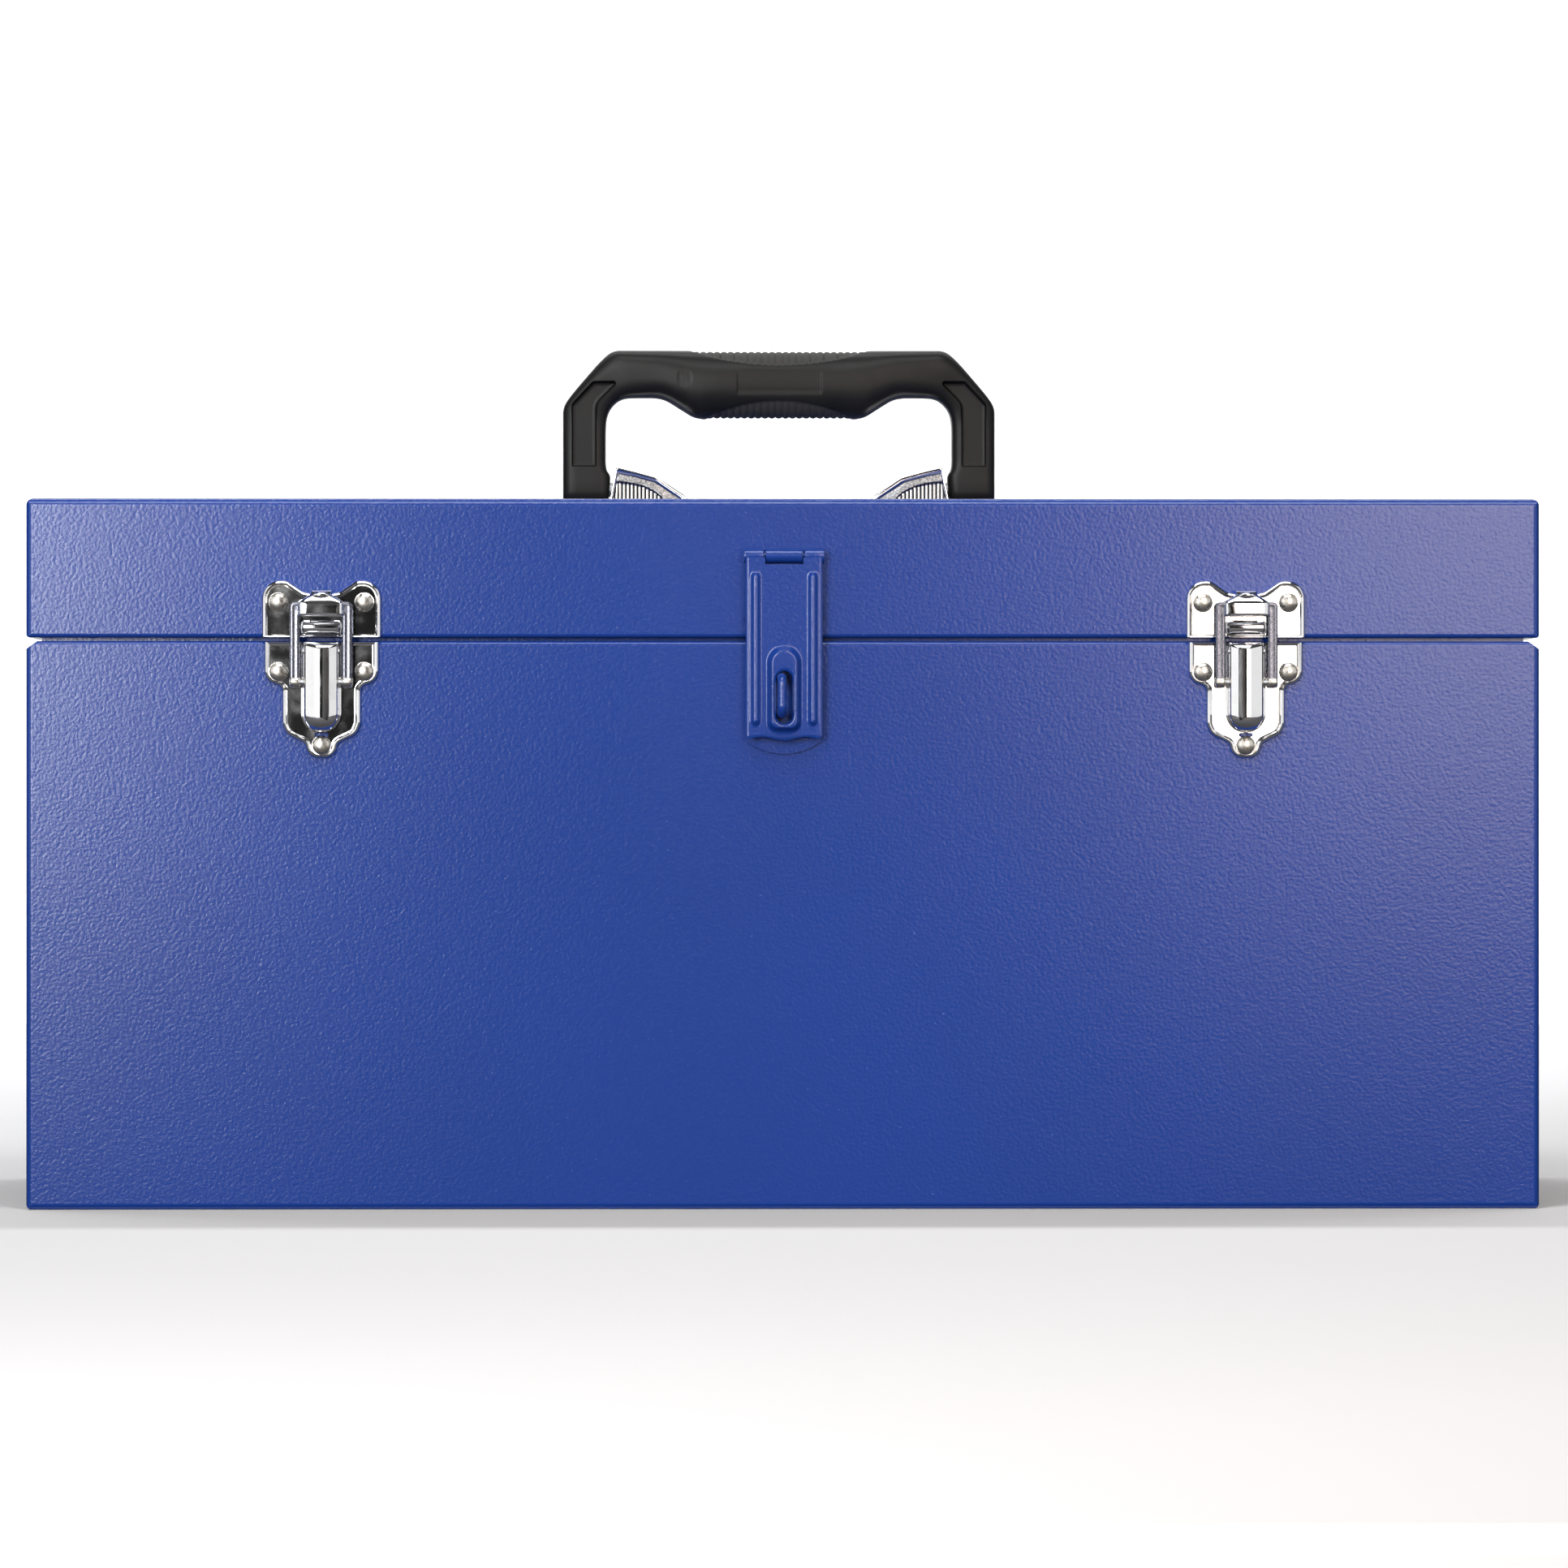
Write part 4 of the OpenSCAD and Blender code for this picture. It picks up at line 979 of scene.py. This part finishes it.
def strap_height(x, y, sizes):
    """How far the strap's front stands off the wall: ribs, raised boss and soft edges."""
    rib = capsule(abs(x) - RIB_X, y, RIB_LOW, RIB_HIGH, RIB_HALF)
    arch = BOSS_HALF - math.hypot(x, max(y - (BOSS_HIGH - BOSS_HALF), 0))
    foot = BOSS_HALF - BOSS_CORNER
    if y < BOSS_LOW + BOSS_CORNER and abs(x) > foot:
        arch = BOSS_CORNER - math.hypot(abs(x) - foot, y - BOSS_LOW - BOSS_CORNER)
    boss = min(arch, y - BOSS_LOW)
    out = STRAP_FLOOR + max(sizes.rib_rise / MM * soft(rib, RIB_FLANK),
                            sizes.boss_rise / MM * soft(boss, BOSS_FLANK))
    rim = min(sizes.strap_half / MM - abs(x), y - STRAP_LOW + 0.2)
    slot = -capsule(x, y, SLOT_LOW, SLOT_HIGH, sizes.slot_half / MM)
    return out - edge_roll(rim, 0.45, 0.8) - edge_roll(slot, 0.5, 0.9)


def strap_skin(sizes, paint):
    """Front of the strap up to the window, with the two straps beside it."""
    half = sizes.strap_half / MM
    columns, rows = 80, 130
    window_half, window_low = 6.5, 25.2
    sag, sag_reach, wall = 0.55, 3.0, 1.2
    grid = []
    for j in range(rows + 1):
        y = STRAP_LOW + (STRAP_HIGH - STRAP_LOW) * j / rows
        below = max(STRAP_LOW + STRAP_CORNER - y, 0)
        width = half - STRAP_CORNER + math.sqrt(max(STRAP_CORNER ** 2 - below ** 2, 0.01))
        line = []
        for i in range(columns + 1):
            u = -1 + 2 * i / columns
            x = u * width
            drop = sag * math.cos(math.pi * 1.5 * u) * (1 - soft(y - STRAP_LOW, sag_reach))
            line.append(on_wall(x, y - drop, strap_height(x, y, sizes)))
        grid.append(line)
    points, faces = bridge(grid, closed=False, caps=False)
    kept = []
    for face in faces:
        middle = sum((Vector(points[i]) for i in face), Vector()) / 4
        if abs(middle.x) > window_half * MM or middle.z < SEAM + window_low * MM:
            kept.append(face)
    skin = new_piece("strap_skin", points, kept, paint)
    drop_loose(skin)
    face_out(skin)
    return thicken(skin, wall, STRAP_CREASE)


def drop_loose(piece):
    """Removes the points that no face uses."""
    work = bmesh.new()
    work.from_mesh(piece.data)
    loose = [point for point in work.verts if not point.link_faces]
    bmesh.ops.delete(work, geom=loose, context="VERTS")
    work.to_mesh(piece.data)
    work.free()


class TOOLBOX_OT_hasp(bpy.types.Operator):
    """Build the hasp's pressed strap with its ribs, boss, slot and knuckles"""
    bl_idname = "toolbox.hasp"
    bl_label = "Hasp"

    def execute(self, context):
        sizes = context.scene.tool_box_hasp
        paint = material("powder_coat")
        strap = strap_skin(sizes, paint)
        half = sizes.slot_half / MM
        slot = mirrored([(half, SLOT_LOW, half - 0.01), (half, SLOT_HIGH, half - 0.01)])
        cut(strap, plate("slot", slot, [(0, 0), (0, 12)], paint, 0, 10), STRAP_CREASE)
        radius, end_round = 2.5, 0.3
        inner, outer = 6.8, sizes.strap_half / MM + 0.7
        knuckles = [rod_across("knuckle", sign * (inner + outer) / 2, (outer - inner) / 2,
                               *HASP_PIN, radius, paint, end_round) for sign in (-1, 1)]
        dress(joined("hasp_strap_pressing", [strap] + knuckles, STRAP_CREASE),
              "hasp_strap", "paint", "hasp_strap")
        return {"FINISHED"}


# ---- Grip and brackets ----

GRIP_HALF = GRIP_HIGH.x / MM
GRIP_TOP = (GRIP_HIGH.z - PIVOT_Z) / MM
LEG_IN = GRIP_HALF - 15
FOOT_ROUND = 6.5
SHOULDER_UNDER = GRIP_TOP - 16.5
BAR_UNDER = GRIP_TOP - 23.9

# Front view of the grip's right half: outer x, z, inner x, z, half thickness, squareness.
# Heights are above the pivot.
GRIP_PATH = [
    (GRIP_HALF, 3, LEG_IN - 1.5, 2.6, 6.5, 5),
    (GRIP_HALF, 6.5, LEG_IN - 1.6, 5, 6.5, 5),
    (GRIP_HALF, 10, LEG_IN, 7, 6.5, 5),
    (GRIP_HALF, 16, LEG_IN, 14, 6.5, 5),
    (GRIP_HALF, 24, LEG_IN, 21.5, 6.5, 5),
    (GRIP_HALF, 28.6, LEG_IN - 0.4, 25.2, 6.8, 5),
    (GRIP_HALF - 2.6, 32.6, LEG_IN - 1.6, 28.2, 7.2, 4.8),
    (GRIP_HALF - 8.4, 39.4, LEG_IN - 4.1, 30.8, 8, 4.4),
    (GRIP_HALF - 13.2, 44.9, LEG_IN - 6.6, 31.8, 9, 4),
    (GRIP_HALF - 17.4, GRIP_TOP, LEG_IN - 9.4, SHOULDER_UNDER, 9.6, 3.7),
    (GRIP_HALF - 22.5, GRIP_TOP, LEG_IN - 14, SHOULDER_UNDER, 10, 3.4),
    (43, GRIP_TOP, 43, SHOULDER_UNDER, 10.5, 3.1),
    (39.5, GRIP_TOP, 39.5, SHOULDER_UNDER - 0.8, 10.8, 3),
    (36, GRIP_TOP, 36, SHOULDER_UNDER - 3, 11.1, 2.8),
    (33, GRIP_TOP, 33, BAR_UNDER + 2.5, 11.4, 2.6),
    (30, GRIP_TOP, 30, BAR_UNDER + 0.6, 11.6, 2.5),
    (26.5, GRIP_TOP, 26.5, BAR_UNDER, 11.8, 2.4),
    (22, GRIP_TOP, 22, BAR_UNDER, 11.95, 2.3),
    (0, GRIP_TOP, 0, BAR_UNDER, 11.95, 2.3),
]


def corner_cut(path, passes=2):
    """Rounds a path by cutting its corners; its ends stay."""
    for _ in range(passes):
        cutting = [path[0]]
        for first, second in zip(path, path[1:]):
            cutting.append(tuple(0.75 * a + 0.25 * b for a, b in zip(first, second)))
            cutting.append(tuple(0.25 * a + 0.75 * b for a, b in zip(first, second)))
        path = cutting + [path[-1]]
    return path


def spaced(path, step):
    """The path with extra stations, so that none lie further apart than step."""
    out = [path[0]]
    for first, second in zip(path, path[1:]):
        reach = max(math.dist(first[:2], second[:2]), math.dist(first[2:4], second[2:4]))
        count = max(math.ceil(reach / step), 1)
        for i in range(1, count + 1):
            out.append(tuple(a + (b - a) * i / count for a, b in zip(first, second)))
    return out


def grip_stations():
    """Stations of the right half, from its round foot to the middle."""
    foot_steps, wide, fine, pads_from = 12, 1.6, 0.32, 37
    foot = []
    for i, angle in enumerate(quarter(foot_steps)[:-1]):
        z = -FOOT_ROUND * math.cos(angle)
        thick = max(FOOT_ROUND * math.sin(angle), 0.4)
        foot.append((GRIP_HALF, z, LEG_IN - 0.2 - 1.2 * i / foot_steps, z, thick, 5))
    leg = spaced(corner_cut(GRIP_PATH[:-2]), wide)
    bar = spaced([leg[-1]] + GRIP_PATH[-2:], fine)[1:]
    dense = [station for station in leg if station[0] >= pads_from]
    near = spaced([station for station in leg if station[0] < pads_from], fine)
    return foot + dense + near + bar


def lens(x, low, high, half):
    """Edge of a lens-shaped pad: low in the middle, reaching high at its two points."""
    return low + (high - low) * (x / half) ** 2


def pad_mask(x, z):
    """1 on the ribbed pads along the top and the underside, with heights above the pivot."""
    top_half, top_depth, under_half, under_depth, edge = 31.8, 5.8, 26, 6.3, 0.9
    upper = z - lens(x, GRIP_TOP - top_depth, GRIP_TOP, top_half)
    lower = lens(x, BAR_UNDER + under_depth, BAR_UNDER, under_half) - z
    return (abs(x) < top_half) * soft(upper, edge) + (abs(x) < under_half) * soft(lower, edge)


def grip_dip(x, z, front, sizes):
    """Depth of the shallow marks on the grip's front: the blank plaque and one round mark."""
    if not front:
        return 0
    plaque_z, plaque_half, plaque_up = GRIP_TOP - 11.8, 15, 3.9
    mark_x, mark_z, mark_radius, mark_depth = -32.9, GRIP_TOP - 9.8, 2.8, 0.12
    plaque = min(plaque_half - abs(x), plaque_up - abs(z - plaque_z))
    mark = mark_radius - math.hypot(x - mark_x, z - mark_z)
    return sizes.plaque_depth / MM * soft(plaque, 0.7) + mark_depth * soft(mark, 0.5)


def grip_ring(station, side, sizes, around=96):
    """One section of the grip as points, with the mask of its ribbed pads."""
    pads_to, bar_to, pad_sink = 32, 40, 0.3
    ox, oz, ix, iz, thick, square = station
    outer, inner = Vector((ox, oz)), Vector((ix, iz))
    middle, arm = (outer + inner) / 2, (outer - inner) / 2
    ring, mask = [], []
    for angle in full_turn(around):
        a, b = power(math.cos(angle), 2 / square), power(math.sin(angle), 2 / square)
        x, z = middle + arm * a
        pads = pad_mask(x, z) if x < pads_to else 0
        shrink = grip_dip(side * x, z, b > 0, sizes) + pad_sink * pads
        scale = 1 - shrink / max(thick, 1)
        x, z = middle + arm * a * (scale if x < bar_to else 1)
        ring.append(Vector((side * x * MM, -thick * b * scale * MM, PIVOT_Z + z * MM)))
        mask.append(pads)
    return ring, mask


def grip_body(sizes, plastic):
    """The moulded grip, swept from foot to foot, with its ribbed pads."""
    stations = grip_stations()
    sweep = [(station, -1) for station in stations] + [(s, 1) for s in reversed(stations[:-1])]
    rings, masks = [], []
    for station, side in sweep:
        ring, mask = grip_ring(station, side, sizes)
        rings.append(ring)
        masks += mask
    points, faces = bridge(rings)
    grip = new_piece("grip_body", points, faces, plastic, 40)
    store(grip, "ribs", nearest_values(grip, points, masks))
    ridge_weave().apply(grip, {"Pitch": sizes.rib_pitch, "Depth": sizes.rib_depth,
                               "Material": plastic}, 50)
    return grip


def nearest_values(piece, points, values):
    """The value of each of a piece's points, from the points that it was made of."""
    known = {tuple(round(c, 7) for c in point): v for point, v in zip(points, values)}
    return [known.get(tuple(round(c, 7) for c in vert.co), 0.0) for vert in piece.data.vertices]


def leg_pockets(plastic):
    """Drafted cutters for the recess in both faces of each leg."""
    inner, outer, low = LEG_IN + 3.3, GRIP_HALF - 3.2, 7.9
    corners = [(inner, low, 0.5), (outer, low, 0.5), (outer, GRIP_TOP - 19.1, 1.6),
               (outer - 7.5, GRIP_TOP - 11.2, 1.2), (inner - 7.4, GRIP_TOP - 11.2, 0.6),
               (inner, GRIP_TOP - 18.6, 5)]
    profile = [(1.6, FOOT_ROUND - 1.7), (0.9, FOOT_ROUND - 1.7), (0.4, FOOT_ROUND - 1.5),
               (0.15, FOOT_ROUND - 0.8), (-0.1, FOOT_ROUND), (-0.4, FOOT_ROUND + 0.3),
               (-0.4, FOOT_ROUND + 4)]
    cutters = []
    for side in (-1, 1):
        for face in (-1, 1):
            def place(x, z, out):
                return Vector((side * x * MM, face * out * MM, PIVOT_Z + z * MM))
            cutters.append(prism("pocket", corners, profile, place, plastic))
    return joined("pockets", cutters)


BRACKET_OUT = LEG_IN - 0.8
BRACKET_OUTLINE = [
    (BRACKET_OUT - 30.6, 0, 0.05), (BRACKET_OUT, 0, 0.05), (BRACKET_OUT - 2.9, 14.8, 1.2),
    (BRACKET_OUT - 9.6, 13.2, 6), (BRACKET_OUT - 17.2, 11.1, 6), (BRACKET_OUT - 26.4, 4.9, 7),
]
WALL_Y = 12.0
LEG_SIDE_SHARE = 0.35
PANEL_HIGH = 9.6
PANEL_LONG = 17.5
WALL_LEAN = 0.8
PANEL_SINK = 0.5
FLUTED_SHEET = 0.5

# Half section of a bracket's top strip from its rolled edge to the middle, as (y, inset)
STRIP_EDGE = [(WALL_Y - 0.1, 2.3), (WALL_Y + 0.4, 2.15), (WALL_Y + 0.8, 1.7), (WALL_Y + 1, 1.1),
              (WALL_Y + 0.97, 0.6), (WALL_Y + 0.75, 0.18), (WALL_Y + 0.3, 0),
              (WALL_Y - 0.3, 0.06), (WALL_Y - 1.2, 0.3), (WALL_Y - 2.4, 0.38), (0, 0.4)]


def on_lid(side, x, y, z):
    """A point in metres from its height above the lid, on one side of the box."""
    return Vector((side * x * MM, y * MM, LID_TOP + z * MM))


def bracket_curve(inset):
    """Front view of a bracket's top skin from its leg side down to its low end, moved inward."""
    steps = 7
    loops = [rounded(taken_in(BRACKET_OUTLINE, reach), steps)
             for reach in (inset, LEG_SIDE_SHARE * inset)]
    curve, side_curve = [loop[steps + 1:] + loop[:steps + 1] for loop in loops]
    for i in range(2 * steps + 2):
        curve[i].x = side_curve[i].x
    for i, point in enumerate(curve):
        if i <= steps or i >= len(curve) - steps - 1:
            point.y = 0
    return curve[steps:len(curve) - steps]


def bracket(label, side, sizes, chrome):
    """Pressed bracket: a strip over the top with rolled edges, and two fluted side walls."""
    section = [(-y, inset) for y, inset in STRIP_EDGE] + STRIP_EDGE[-2::-1]
    rings = [[on_lid(side, p.x, y, p.y) for p in bracket_curve(inset)] for y, inset in section]
    centre = on_lid(side, BRACKET_OUT - 15, 0, 0)
    strip = new_piece("strip", *bridge(rings, closed=False, caps=False), chrome)
    turn_out(strip, centre)
    parts = [thicken(strip, DRAWN_WALL)]
    for face in (-1, 1):
        wall = fluted_wall(side, face, chrome)
        turn_out(wall, centre)
        store(wall, "ribs", [soft(panel_depth(side * point.co.x / MM,
                                              (point.co.z - LID_TOP) / MM), 0.6)
                             for point in wall.data.vertices])
        ridge_weave().apply(wall, {"Pitch": sizes.flute_pitch, "Depth": sizes.flute_depth,
                                   "Material": material("fluted_plate")})
        parts.append(thicken(wall, FLUTED_SHEET))
    dress(joined(f"{label}_bracket_shell", parts), "lid", "chrome", f"{label}_bracket")


def fluted_wall(side, face, chrome):
    """One side wall of a bracket, leaning out to the lid, with its panel pressed in."""
    top = bracket_curve(2.0)
    start, end = top[0].x - 0.2, top[-1].x + 0.4
    columns, rows = 240, 24
    grid = []
    for row in range(rows + 1):
        down = row / rows
        lean = WALL_LEAN * math.sin(math.pi / 2 * down)
        line = []
        for i in range(columns + 1):
            x = start + (end - start) * i / columns
            z = height_at(top, x) * (1 - down)
            y = face * (WALL_Y - 0.1 + lean - PANEL_SINK * soft(panel_depth(x, z), 0.9))
            line.append(on_lid(side, x, y, z))
        grid.append(line)
    return new_piece("wall", *bridge(grid, closed=False, caps=False), chrome)


def panel_depth(x, z):
    """How far below the arched border of a wall's fluted panel a point lies."""
    along = max(BRACKET_OUT - x - 3, 0) / PANEL_LONG
    return PANEL_HIGH * math.sqrt(max(1 - along ** 2, 0)) - z


def height_at(curve, x):
    """Height of a front-view curve at x."""
    heights = []
    for first, second in zip(curve, curve[1:]):
        if min(first.x, second.x) <= x <= max(first.x, second.x) and first.x != second.x:
            part = (x - first.x) / (second.x - first.x)
            heights.append(first.y + (second.y - first.y) * part)
    return max(heights + [0.05])


def turn_out(skin, centre):
    """Turns an open skin so that most of its area faces away from the centre."""
    away = sum((Vector(face.center) - centre).dot(face.normal) * face.area
               for face in skin.data.polygons)
    if away < 0:
        skin.data.flip_normals()


class TOOLBOX_OT_grip(bpy.types.Operator):
    """Build the folding grip and the two pressed brackets beside its legs"""
    bl_idname = "toolbox.grip"
    bl_label = "Grip and Brackets"

    def execute(self, context):
        sizes = context.scene.tool_box_grip
        plastic = material("moulded_plastic")
        grip = grip_body(sizes, plastic)
        cut(grip, leg_pockets(plastic), 40)
        dress(grip, "handle", "grip", "grip")
        for label, side in SIDES.items():
            bracket(label, side, sizes, material("chrome_plate"))
        return {"FINISHED"}


# ---- Carried-over nodes ----

class TOOLBOX_OT_finishes(bpy.types.Operator):
    """Put the right finish on every piece of sheet steel, pin and rivet of the frame"""
    bl_idname = "toolbox.finishes"
    bl_label = "Finishes"

    def execute(self, context):
        of_slot = {"paint": "powder_coat", "chrome": "chrome_plate",
                   "steel": "zinc_steel", "grip": "moulded_plastic"}
        of_node = {"backing_plate": "raw_plate"}
        slots = {part["node"]: part["material_slot"] for part in frame["record"]["subparts"]}
        for name, node in frame["nodes"].items():
            if node.hide_render:
                continue
            finish = material(of_node.get(name, of_slot[slots[name]]))
            for holder in node.material_slots:
                holder.material = finish
        return {"FINISHED"}


# ---- Stage ----

WHITE = (1, 1, 1)

# Name, place, aim, width and height, power in watts and tint of each light
SOFTBOXES = [
    ("left_box", (-0.80, -0.90, 0.56), (0.1, -0.36, 0.50), (1.2, 1.0), 4, WHITE),
    ("right_box", (0.86, -0.90, 0.56), (-0.1, -0.36, 0.50), (1.2, 1.0), 3.2, WHITE),
    ("left_strip", (-0.62, -1.7, 0.57), (-0.1, -0.1, 0.5), (0.46, 0.96), 23.5, WHITE),
    ("right_strip", (0.47, -1.7, 0.62), (0.1, -0.1, 0.5), (0.44, 1.0), 10.6, (1.0, 0.86, 0.76)),
    ("top_box", (0, -0.65, 1.15), (0, -0.1, 0.2), (0.9, 0.5), 8, WHITE),
    ("backdrop_box", (0, 1.0, 2.6), (0, 3.0, 0.9), (4.0, 0.8), 142, WHITE),
]


def look_at(thing, place, aim):
    """Puts a light or camera in its place, looking at a point."""
    thing.location = place
    thing.rotation_euler = (Vector(aim) - Vector(place)).to_track_quat("-Z", "Y").to_euler()


def softbox(name, place, aim, size, watts, tint):
    """A plain area light that looks at a point."""
    data = bpy.data.lights.new(name, "AREA")
    data.shape = "RECTANGLE"
    data.size, data.size_y = size
    data.energy = watts
    data.color = tint
    look_at(placed(name, data), place, aim)


def bare_piece(name, points, faces, finish):
    """A flat-shaded mesh object for the stage."""
    mesh = mesh_of(name, points, faces)
    mesh.materials.append(finish)
    return placed(name, mesh)


def sheet_of(name, corners, finish):
    """A flat stage sheet through its corners."""
    sheet = bare_piece(name, corners, [tuple(range(len(corners)))], finish)
    return sheet


def cove(finish):
    """Floor that curves up into the backdrop, so that no horizon shows."""
    front, foot, bend, half, high = -1.5, 2.1, 1.1, 4.5, 4.5
    profile = [(front, 0)]
    profile += [(foot + bend * math.sin(a), bend - bend * math.cos(a)) for a in quarter(16)]
    profile.append((foot + bend, high))
    rows = [[Vector((x, y, z)) for x in (-half, half)] for y, z in profile]
    sweep = bare_piece("cove", *bridge(rows, closed=False, caps=False), finish)
    shade(sweep.data, CREASE)


def surround():
    """Pale floor and wall all round, seen by the camera and not mirrored by the box."""
    around, radius, high, sink = 48, 7.0, 6.0, 0.002
    rings = [[Vector((radius * math.cos(a), radius * math.sin(a), z)) for a in full_turn(around)]
             for z in (-sink, high)]
    points, faces = bridge(rings, caps=False)
    faces.append(tuple(range(around)))
    room = bare_piece("surround", points, faces, material("pale_surround"))
    room.visible_diffuse = False
    room.visible_glossy = False
    room.visible_shadow = False


def dark_cloth(name, corners, finish="black_cloth", bounce=False):
    """A cloth seen in reflections, which also takes up the floor's bounce if asked to."""
    cloth = sheet_of(name, corners, material(finish))
    cloth.visible_camera = False
    cloth.visible_shadow = False
    cloth.visible_diffuse = bounce


class TOOLBOX_OT_stage(bpy.types.Operator):
    """Set up the pale floor, the soft lights and the camera"""
    bl_idname = "toolbox.stage"
    bl_label = "Stage"

    def execute(self, context):
        scene = context.scene
        stage = scene.tool_box_stage
        cove(plain_finish("pale_floor", stage.floor, 0.7))
        surround()
        self.add_cloths()
        for row in SOFTBOXES:
            softbox(*row)
        world = bpy.data.worlds.new("dim_room")
        world.use_nodes = True
        background = world.node_tree.nodes["Background"]
        background.inputs["Color"].default_value = (1, 1, 1, 1)
        background.inputs["Strength"].default_value = 0.05
        scene.world = world
        self.add_camera(scene, stage)
        scene.view_settings.view_transform = "Standard"
        scene.view_settings.look = "None"
        return {"FINISHED"}

    @staticmethod
    def add_cloths():
        """Black cloths behind the camera and between the lights, and a mat on the floor."""
        half, rear, low, high = 0.7, -3.1, -0.2, 1.5
        dark_cloth("rear_cloth", [(-half, rear, low), (half, rear, low), (half, rear, high),
                                  (-half, rear, high)])
        near, far, low, high = -0.34, -2.2, 0.0, 0.6
        dark_cloth("middle_cloth", [(0, near, low), (0, far, low), (0, far, high),
                                    (0, near, high)])
        left, right, front, back, above = -4.4, 4.4, -2.6, 1.9, 0.001
        dark_cloth("floor_mat", [(left, front, above), (right, front, above),
                                 (right, back, above), (left, back, above)], "grey_mat", True)

    @staticmethod
    def add_camera(scene, stage):
        """A level camera that looks at the front wall."""
        data = bpy.data.cameras.new("camera")
        data.sensor_width = 36
        data.lens = data.sensor_width * stage.camera_distance / stage.view_width
        data.clip_end = 50
        camera = placed("camera", data)
        place = (-stage.camera_left, FRONT - stage.camera_distance, stage.camera_height)
        look_at(camera, place, (0, FRONT, stage.camera_height))
        scene.camera = camera


# ---- Add-on ----

class TOOLBOX_PT_sidebar(bpy.types.Panel):
    """Buttons for each part of the tool box, with its sizes and colours"""
    bl_idname = "TOOLBOX_PT_sidebar"
    bl_label = "Tool Box"
    bl_space_type = "VIEW_3D"
    bl_region_type = "UI"
    bl_category = "Tool Box"

    def draw(self, context):
        for operator in OPERATORS:
            self.layout.operator(operator.bl_idname)
        for name, group in SETTINGS.items():
            settings = getattr(context.scene, name)
            box = self.layout.box()
            for field in group.__annotations__:
                box.prop(settings, field)


SETTINGS = {
    "tool_box_latch": LatchSettings,
    "tool_box_hasp": HaspSettings,
    "tool_box_grip": GripSettings,
    "tool_box_finish": FinishSettings,
    "tool_box_stage": StageSettings,
}
OPERATORS = [TOOLBOX_OT_stage, TOOLBOX_OT_latches, TOOLBOX_OT_hasp, TOOLBOX_OT_grip,
             TOOLBOX_OT_finishes]


def register():
    """Adds the settings, the buttons and the sidebar."""
    for group in SETTINGS.values():
        bpy.utils.register_class(group)
    for operator in OPERATORS:
        bpy.utils.register_class(operator)
    bpy.utils.register_class(TOOLBOX_PT_sidebar)
    for name, group in SETTINGS.items():
        setattr(bpy.types.Scene, name, PointerProperty(type=group))


def unregister():
    """Takes the sidebar, the buttons and the settings away again."""
    for name in SETTINGS:
        delattr(bpy.types.Scene, name)
    bpy.utils.unregister_class(TOOLBOX_PT_sidebar)
    for operator in reversed(OPERATORS):
        bpy.utils.unregister_class(operator)
    for group in reversed(list(SETTINGS.values())):
        bpy.utils.unregister_class(group)


def main():
    """Builds everything."""
    register()
    for operator in OPERATORS:
        family, name = operator.bl_idname.split(".")
        getattr(getattr(bpy.ops, family), name)()


if __name__ == "__main__":
    main()
